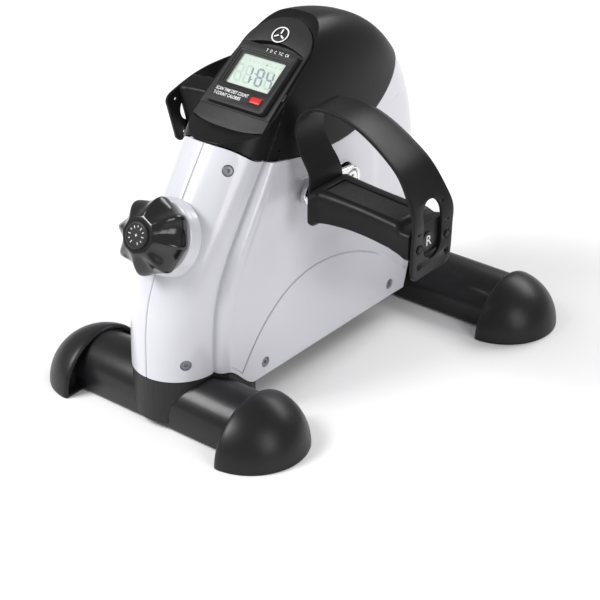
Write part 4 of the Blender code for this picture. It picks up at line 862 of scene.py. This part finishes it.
def build_caps():
    """Moulded end caps: quarter ellipsoid with a rounded lip, a recess and the plug in the bar."""
    arc, rows = 72, 30
    for where, x_rim, y in (("front", FRONT_CAP_X, -FOOT_Y), ("rear", REAR_CAP_X, FOOT_Y)):
        for name, side in SIDES:
            made = bmesh.new()
            rings = []
            shape = list(CAP_ROLL)
            for k in range(2, rows):
                angle = 0.5 * math.pi * k / rows
                shape.append((CAP_RADIUS * math.sin(angle), math.cos(angle)))
            for step, scale in shape:
                rings.append([(side * (x_rim + step), y + CAP_RADIUS * scale * math.cos(math.pi * i / arc),
                               CAP_HEIGHT * scale * math.sin(math.pi * i / arc)) for i in range(arc + 1)])
            grid = loft(made, rings, cap=False)
            tip = made.verts.new((side * (x_rim + CAP_RADIUS), y, 0.0))
            for i in range(arc + 1):
                made.faces.new((grid[-1][i], grid[-1][(i + 1) % (arc + 1)], tip))
            made.faces.new(grid[0])
            item = new_object("seen_%s_cap_%s" % (where, name), made, "cap_rubber")
            recess = bmesh.new()
            loft(recess, [[(side * (x_rim + step), y + (CAP_RADIUS - lip) * math.cos(math.pi * i / arc),
                            CAP_LIP + (CAP_HEIGHT - CAP_LIP - lip) * math.sin(math.pi * i / arc))
                           for i in range(arc + 1)] for step, lip in CAP_MOUTH])
            plug = prism_x([(y + py, pz) for py, pz in bar_outline(-BAR_WALL - GAP, 48, BAR_BOTTOM_Z)],
                           side * (x_rim - PLUG_LENGTH), side * (x_rim + CAP_RECESS + 0.002))
            carve(item, [(recess, CUT), (plug, JOIN)], bevel=0.0008, bevel_angle=50.0, smooth=45.0)
            settle(item, "base", "black_rubber", "%s_cap_%s" % (where, name))


# ---------------------------------------------------------------- crank
def spindle_centre(side):
    """Pedal spindle centre in (y, z)."""
    return (CRANK_Y - side * CRANK_RADIUS * math.cos(CRANK_RISE),
            CRANK_Z + side * CRANK_RADIUS * math.sin(CRANK_RISE))


def build_arms():
    """Chromed crank arms: round ends, straight sides between, with softened edges."""
    for name, side in SIDES:
        spindle_y, spindle_z = spindle_centre(side)
        tip = Vector((0.0, spindle_y, spindle_z))
        hub = Vector((0.0, CRANK_Y, CRANK_Z))
        along = (tip - hub).normalized()
        across = Vector((0.0, -along.z, along.y))
        outline = []
        for i in range(33):
            angle = -0.5 * math.pi + math.pi * i / 32
            reach, rise = ARM_END_RADIUS * math.cos(angle), ARM_END_RADIUS * math.sin(angle)
            outline.append(tip + along * reach + across * rise)
        for i in range(33):
            angle = 0.5 * math.pi + math.pi * i / 32
            outline.append(hub + along * 0.0120 * math.cos(angle) + across * 0.0120 * math.sin(angle))
        made = bmesh.new()
        loft(made, [[point + X_AXIS * side * x for point in outline] for x in (ARM_X, ARM_X + ARM_THICK)])
        item = new_object("seen_crank_arm_" + name, made, "chrome")
        steps = []
        for centre, radius, start in ((hub, 0.0055 + GAP, 0.045), (hub, 0.0085 + GAP, 0.0522),
                                      (tip, SPINDLE_RADIUS + GAP, 0.045)):
            steps.append(bore(centre, X_AXIS, radius, side * start, side * 0.065, 40))
        carve(item, steps, bevel=0.0012, bevel_angle=45.0, smooth=45.0)
        settle(item, "crank", "chrome", "crank_arm_" + name)
        nut = turned(axis_frame(hub, X_AXIS * side), [(0.0085, 0.0525), (0.0085, 0.0537), (0.0080, 0.0542),
                                                      (0.0064, 0.0545), (0.0040, 0.0545), (0.0034, 0.0541),
                                                      (0.0010, 0.0541)], 40)
        item = new_object("seen_crank_nut_" + name, nut, "chrome")
        settle(item, "crank", "chrome", "crank_nut_" + name)


# ---------------------------------------------------------------- knob
# height, radius and depth of the scoops
KNOB_ROWS = (
    (0.0062, 0.0268, 0.0012), (0.0066, 0.0284, 0.0020), (0.0078, 0.0302, 0.0028),
    (0.0110, KNOB_RADIUS - 0.0007, 0.0040), (0.0150, KNOB_RADIUS, 0.0050), (0.0190, 0.0325, 0.0060),
    (0.0230, 0.0308, 0.0068), (0.0268, 0.0278, 0.0070), (0.0298, 0.0244, 0.0058), (0.0322, 0.0206, 0.0038),
    (0.0338, 0.0175, 0.0018), (0.0347, 0.0156, 0.0006), (0.0350, 0.0140, 0.0),
)
SCOOP_SOFTNESS = 0.02


def build_knob():
    """Knob with finger scoops, and its dial face with generic ticks."""
    carrier = axis_frame(KNOB_BASE, KNOB_DIR)
    fine = [along_route(KNOB_ROWS, i / 4.0) for i in range(4 * (len(KNOB_ROWS) - 1))]
    fine.append(np.array(KNOB_ROWS[-1]))
    made = bmesh.new()
    rings = []
    for height, radius, scoop in fine:
        ring = []
        for i in range(180):
            angle = 2.0 * math.pi * i / 180
            swing = math.sin(0.5 * KNOB_LOBES * angle) ** 2
            wave = math.sqrt(swing + SCOOP_SOFTNESS) - math.sqrt(SCOOP_SOFTNESS)
            r = radius - 0.95 * max(scoop, 0.0) * wave
            ring.append(carrier @ Vector((r * math.cos(angle), r * math.sin(angle), height)))
        rings.append(ring)
    loft(made, rings)
    item = new_object("seen_tension_knob", made, "knob_black", smooth=60.0)
    seat = turned(carrier, [(0.0115, 0.0325), (0.0115, 0.05)], 64)
    socket = turned(carrier, [(ROD_RADIUS + GAP, -0.01), (ROD_RADIUS + GAP, 0.0253)], 24)
    carve(item, [(seat, CUT), (socket, CUT)], smooth=50.0)
    settle(item, "tension_knob", "black_gloss", "tension_knob")
    face = turned(carrier, [(0.0110, 0.0328), (0.0112, 0.0332), (0.0112, 0.0362), (0.0108, 0.0369),
                            (0.0100, 0.0373), (0.0092, 0.0373), (0.0090, 0.0368), (0.0040, 0.0368)], 64)
    dial = new_object("seen_knob_dial", face, "black_satin", smooth=35.0)
    settle(dial, "tension_knob", "black_satin", "knob_dial")
    marks = []
    for i in range(11):
        angle = math.radians(-60.0 + 30.0 * i)
        length = 0.0016 if i % 2 else 0.0024
        turn = carrier @ Matrix.Rotation(angle, 4, "Z")
        tick = block((0.0080 - length, -0.00028, 0.0368), (0.0080, 0.00028, 0.03695), turn)
        marks.append(new_object("tick", tick, "print_white"))
    for low, high in (((-0.0012, -0.00025, 0.0368), (0.0012, 0.00025, 0.03695)),
                      ((-0.00025, -0.0012, 0.0368), (0.00025, 0.0012, 0.03695))):
        marks.append(new_object("plus", block(low, high, carrier), "print_white"))
    settle(joined("seen_dial_print", marks), "tension_knob", None)


# ---------------------------------------------------------------- pedals
PEDAL_STATIONS = (
    (0.0745, 0.0196, 0.0118, 0.0330, 0.0200), (0.0775, 0.0203, 0.0120, 0.0335, 0.0205),
    (0.0800, 0.0208, 0.0100, 0.0295, 0.0185), (0.0900, 0.0203, 0.0085, 0.0275, 0.0170),
    (0.1100, 0.0190, 0.0075, 0.0262, 0.0160), (0.1300, 0.0177, 0.0085, 0.0262, 0.0158),
    (0.1500, 0.0164, 0.0108, 0.0272, 0.0165), (0.1580, 0.0157, 0.0128, 0.0280, 0.0180),
    (0.1625, 0.0112, 0.0142, 0.0285, 0.0210), (0.1660, 0.0112, 0.0158, 0.0290, 0.0235),
    (0.1715, 0.0112, 0.0160, 0.0290, 0.0250),
)
RIB_SECTION = ((-0.0006, 0.0), (-0.0004, 0.0009), (-0.0002, 0.0011), (0.0002, 0.0011), (0.0004, 0.0009),
               (0.0006, 0.0))
# strap section: place across the half width, place across the thickness
STRAP_SECTION = (
    (-1.0, -0.32), (-1.0, 0.32), (-0.985, 0.46), (-0.955, 0.5), (-0.80, 0.5), (-0.76, 0.44), (0.0, 0.44),
    (0.76, 0.44), (0.80, 0.5), (0.955, 0.5), (0.985, 0.46), (1.0, 0.32), (1.0, -0.32), (0.985, -0.46),
    (0.955, -0.5), (0.0, -0.5), (-0.955, -0.5), (-0.985, -0.46),
)
STRAP_CUT = (0.160, 0.190)
STRAP_SINK = 0.1744
PEG_MIDDLE = 0.0002
PEG_SPREAD = 0.0189
PEG_DROP = 0.0057
HOLE_STEP = 0.0152
SLOT_MIDDLE = -0.0006
SLOT_HALF = 0.0125
SLOT_TOP = 0.0305
SLOT_BOTTOM = -0.0195
STRAP_ROUTE = (
    (0.0728, 0.0110, -0.0077, 0.0217), (0.0727, 0.0190, -0.0070, 0.0217), (0.0700, 0.0310, -0.0058, 0.0192),
    (0.0610, 0.0485, -0.0080, 0.0180), (0.0571, 0.0640, -0.0090, 0.0176), (0.0605, 0.0780, -0.0090, 0.0175),
    (0.0712, 0.0875, -0.0088, 0.0176), (0.0870, 0.0900, -0.0083, 0.0180), (0.1040, 0.0880, -0.0075, 0.0184),
    (0.1220, 0.0812, -0.0065, 0.0190), (0.1410, 0.0690, -0.0052, 0.0200), (0.1575, 0.0540, -0.0035, 0.0216),
    (0.1682, 0.0340, -0.0010, 0.0245), (0.1733, 0.0170, 0.0012, 0.0270), (0.1737, 0.0000, 0.0002, 0.0275),
    (0.1737, -0.0200, -0.0005, 0.0272), (0.1737, -0.0285, -0.0010, 0.0255),
    (0.1737, -0.0320, -0.0015, 0.0210),
)


def pedal_ring(x, rise, drop, half_front, half_rear, steps=18, corner=0.35):
    """Rounded pedal section in (y, z) about the spindle."""
    points = []
    for sy, sz, half, height in ((1, 1, half_rear, rise), (-1, 1, half_front, rise),
                                 (-1, -1, half_front, drop), (1, -1, half_rear, drop)):
        quarter = []
        for i in range(steps + 1):
            angle = 0.5 * math.pi * i / steps
            quarter.append((sy * half * max(math.cos(angle), 0.0) ** corner,
                            sz * height * math.sin(angle) ** corner))
        if sy * sz < 0:
            quarter.reverse()
        points += quarter[:-1]
    return [(x, y, z) for y, z in points]


def build_pedal(name, side):
    """Pedal with its flange, end plate, ribbed tread, pegs, side mark and toe strap."""
    spindle_y, spindle_z = spindle_centre(side)
    origin = Vector((0.0, spindle_y, spindle_z))
    tilt = Matrix.Rotation(PEDAL_TILT[name], 4, "X")
    carrier = Matrix.Translation(origin) @ tilt @ Matrix.Scale(side, 4, X_AXIS)
    body_name = "pedal_" + name
    made = bmesh.new()
    rings = []
    for k in range(len(PEDAL_STATIONS) - 1):
        a, b = np.array(PEDAL_STATIONS[k]), np.array(PEDAL_STATIONS[k + 1])
        parts = 2 if b[0] - a[0] < 0.006 else 5
        for i in range(parts):
            f = i / parts
            place = a + (b - a) * f
            if parts == 5:
                place[1:] = along_route(PEDAL_STATIONS, k + f)[1:]
            rings.append([carrier @ Vector(p) for p in pedal_ring(*place)])
    rings.append([carrier @ Vector(p) for p in pedal_ring(*PEDAL_STATIONS[-1])])
    loft(made, rings)
    item = new_object("seen_pedal_" + name, made, "black_rubber")
    steps = []
    for sign in (-1.0, 1.0):
        centre = carrier @ Vector((0.0, PEG_MIDDLE + sign * PEG_SPREAD, -PEG_DROP))
        peg = [(0.0030, PEDAL_X1 - 0.004), (0.0030, PEDAL_X1 + 0.0036), (0.0026, PEDAL_X1 + 0.0042),
               (0.0018, PEDAL_X1 + 0.0044)]
        steps.append((turned(axis_frame(centre, X_AXIS * side), peg, 28), JOIN))
    steps.append(bore(origin, X_AXIS * side, SPINDLE_RADIUS + GAP, 0.0700, PEDAL_X1 - 0.0115))
    slope = carrier @ Matrix.Rotation(math.radians(4.2), 4, "Y")
    seat = [(0.0820, -0.0204, 0.0243), (0.1550, 0.0039, 0.0450)]
    steps.append((block(*seat, slope), CUT))
    for y0, y1 in ((-0.0225, -0.0110), (-0.0070, 0.0070), (0.0105, 0.0190)):
        low, high = (PEDAL_X1 - 0.0007, y0, -0.0145), (PEDAL_X1 + 0.003, y1, -0.0135)
        steps.append((block(low, high, carrier), CUT))
    carve(item, steps, bevel=0.0006, bevel_angle=38.0, smooth=40.0)
    settle(item, body_name, "black_rubber", "pedal_" + name)

    base = block((0.0824, -0.0200, 0.0246), (0.1546, 0.0035, 0.0253), slope)
    tread = [new_object("tread", base, "tread_rubber")]
    for i in range(13):
        y = -0.0191 + 0.0018 * i
        rib = bmesh.new()
        rows = []
        for x, shrink in ((0.0828, 0.6), (0.0834, 1.0), (0.1536, 1.0), (0.1542, 0.6)):
            rows.append([slope @ Vector((x, y + dy * shrink, 0.0251 + dz * shrink))
                         for dy, dz in RIB_SECTION])
        loft(rib, rows)
        tread.append(new_object("rib", rib, "tread_rubber"))
    item = joined("seen_tread_" + name, tread)
    shade(item, 50.0)
    settle(item, body_name, "black_rubber", "pedal_tread_" + name)

    centre = carrier @ Vector((0.0, -0.0026, -0.0045))
    profile = [(0.0079, PEDAL_X1 - 0.0002), (0.0079, PEDAL_X1 + 0.0010), (0.0075, PEDAL_X1 + 0.0014),
               (0.0070, PEDAL_X1 + 0.0014), (0.0067, PEDAL_X1 + 0.0010)]
    disc = new_object("seen_side_disc_" + name, turned(axis_frame(centre, X_AXIS * side), profile, 48),
                      "black_satin")
    settle(disc, body_name, "black_rubber")
    across = (carrier.to_3x3() @ Vector((0.0, side, 0.0))).normalized()
    upward = (carrier.to_3x3() @ Vector((0.0, 0.0, 1.0))).normalized()
    turn = Matrix((across, upward, X_AXIS * side)).transposed().to_4x4()
    letter = text_mesh(name[0].upper(), 0.0125, turn, centre + X_AXIS * side * (PEDAL_X1 + 0.0012),
                       "print_white")
    letter.name = "seen_side_letter_" + name
    settle(letter, body_name, None)
    build_strap(name, side, carrier, body_name)


def build_strap(name, side, carrier, body_name):
    """Moulded toe strap with rounded edges, its adjusting slot and peg holes."""
    samples = [along_route(STRAP_ROUTE, i / 7.0) for i in range(7 * (len(STRAP_ROUTE) - 1) + 1)]
    rings = []
    for i, (x, up, lean, half) in enumerate(samples):
        before, after = samples[max(i - 1, 0)], samples[min(i + 1, len(samples) - 1)]
        length = math.hypot(after[0] - before[0], after[1] - before[1])
        nx, nz = -(after[1] - before[1]) / length, (after[0] - before[0]) / length
        section = []
        for y, h in STRAP_SECTION:
            offset = h * STRAP_THICK
            section.append(carrier @ Vector((x + nx * offset, lean + y * half, up + nz * offset)))
        rings.append(section)
    made = bmesh.new()
    loft(made, rings)
    item = new_object("seen_toe_strap_" + name, made, "black_rubber")
    slot = bmesh.new()
    outline = [(SLOT_MIDDLE + SLOT_HALF * math.cos(math.pi * (i / 32 + turn)),
                z + SLOT_HALF * math.sin(math.pi * (i / 32 + turn)))
               for turn, z in ((0.0, SLOT_TOP - SLOT_HALF), (1.0, SLOT_BOTTOM + SLOT_HALF))
               for i in range(33)]
    loft(slot, [[carrier @ Vector((x, y, z)) for y, z in outline] for x in (0.150, 0.190)])
    steps = [(slot, CUT)]
    for sign in (-1.0, 1.0):
        peg = Vector((0.0, PEG_MIDDLE + sign * PEG_SPREAD, -PEG_DROP))
        low = peg - Vector((0.0, 0.0, HOLE_STEP))
        small = Vector((0.0, PEG_MIDDLE + sign * 0.0200, 0.0073))
        for place, radius, start in ((peg, 0.0034, STRAP_CUT[0]), (peg, 0.0043, STRAP_SINK),
                                     (low, 0.0018, STRAP_CUT[0]), (low, 0.0034, STRAP_SINK),
                                     (small, 0.0012, STRAP_CUT[0])):
            steps.append(bore(carrier @ place, X_AXIS * side, radius, start, STRAP_CUT[1], 28))
    steps.append(bore(carrier @ Vector((0.0, 0.0145, 0.0247)), X_AXIS * side, 0.0012, 0.150, 0.190, 20))
    carve(item, steps, bevel=0.0003, bevel_angle=55.0, smooth=40.0, segments=2)
    settle(item, body_name, "black_rubber", "toe_strap_" + name)


# ---------------------------------------------------------------- the remaining frame nodes
def soft_shading(limit):
    """Node group that shades smooth and keeps edges sharper than the limit."""
    group = bpy.data.node_groups.new("soft_shading", "GeometryNodeTree")
    group.interface.new_socket("Geometry", in_out="INPUT", socket_type="NodeSocketGeometry")
    group.interface.new_socket("Geometry", in_out="OUTPUT", socket_type="NodeSocketGeometry")
    source, sink = group.nodes.new("NodeGroupInput"), group.nodes.new("NodeGroupOutput")
    faces, edges = (group.nodes.new("GeometryNodeSetShadeSmooth") for _ in range(2))
    faces.domain, edges.domain = "FACE", "EDGE"
    edges.inputs["Shade Smooth"].default_value = False
    angle = group.nodes.new("GeometryNodeInputMeshEdgeAngle")
    sharper = group.nodes.new("FunctionNodeCompare")
    sharper.operation = "GREATER_THAN"
    sharper.inputs[1].default_value = limit
    group.links.new(angle.outputs["Unsigned Angle"], sharper.inputs[0])
    group.links.new(source.outputs[0], faces.inputs["Geometry"])
    group.links.new(faces.outputs["Geometry"], edges.inputs["Geometry"])
    group.links.new(sharper.outputs["Result"], edges.inputs["Selection"])
    group.links.new(edges.outputs["Geometry"], sink.inputs[0])
    return group


THIN_EDGED = ("lcd_green", "clear_lens", "circuit_green", "felt")


def dress_nodes():
    """Finish and softened edges for the frame's own nodes that stay in view."""
    slots = {row["node"]: row["material_slot"] for row in frame["record"]["subparts"]}
    shading = soft_shading(math.radians(32.0))
    for name, node in frame["nodes"].items():
        if node.hide_render:
            continue
        node.data.materials.clear()
        node.data.materials.append(MATERIALS[slots[name]])
        soft = node.modifiers.new("edge", "BEVEL")
        soft.width = 0.0003 if slots[name] in THIN_EDGED else 0.0006
        soft.segments = 2
        soft.limit_method = "ANGLE"
        soft.angle_limit = math.radians(40.0)
        if name in ("lcd_panel", "lcd_lens"):
            node.modifiers.clear()
        node.modifiers.new("shading", "NODES").node_group = shading


# ---------------------------------------------------------------- stage, light and camera
def build_stage():
    """Plain pale floor."""
    made = bmesh.new()
    corners = ((-1.0, -1.0), (1.0, -1.0), (1.0, 1.0), (-1.0, 1.0))
    loft(made, [[(x * FLOOR_SIZE, y * FLOOR_SIZE, z) for x, y in corners] for z in FLOOR_Z])
    floor = new_object("floor", made, "floor")


def add_light(name, place, target, size, power):
    """Soft rectangular light aimed at a point."""
    data = bpy.data.lights.new(name, "AREA")
    data.shape = "RECTANGLE"
    data.size, data.size_y = size
    data.energy = power
    item = bpy.data.objects.new(name, data)
    item.location = place
    item.rotation_euler = (Vector(target) - Vector(place)).to_track_quat("-Z", "Y").to_euler()
    bpy.context.scene.collection.objects.link(item)


MATERIALS["floor"] = finish_of("floor", (0.90, 0.90, 0.90), 0.60, cloud=(3.0, 0.01),
                               grain=(200.0, 0.05, 0.0001), swirl=0.0)
build_housing()
build_screws()
build_cover()
build_holder()
build_counter()
build_bars()
build_caps()
build_arms()
build_knob()
for pedal_name, pedal_side in SIDES:
    build_pedal(pedal_name, pedal_side)
dress_nodes()
build_stage()
for light_name, light_place, light_size, light_power in LIGHTS:
    add_light(light_name, light_place, LIGHT_TARGET, light_size, light_power)
world = bpy.data.worlds.new("studio")
bpy.context.scene.world = world
bpy.context.scene.view_settings.view_transform = "Standard"
world.use_nodes = True
world.node_tree.nodes["Background"].inputs["Color"].default_value = (1.0, 1.0, 1.0, 1.0)
world.node_tree.nodes["Background"].inputs["Strength"].default_value = WORLD_STRENGTH

camera_data = bpy.data.cameras.new("camera")
camera_data.lens = CAMERA_LENS
camera_data.sensor_width = CAMERA_SENSOR
camera_data.clip_start, camera_data.clip_end = CAMERA_CLIP
camera = bpy.data.objects.new("camera", camera_data)
camera.location = CAMERA_PLACE
camera.rotation_euler = CAMERA_TURN
bpy.context.scene.collection.objects.link(camera)
bpy.context.scene.camera = camera
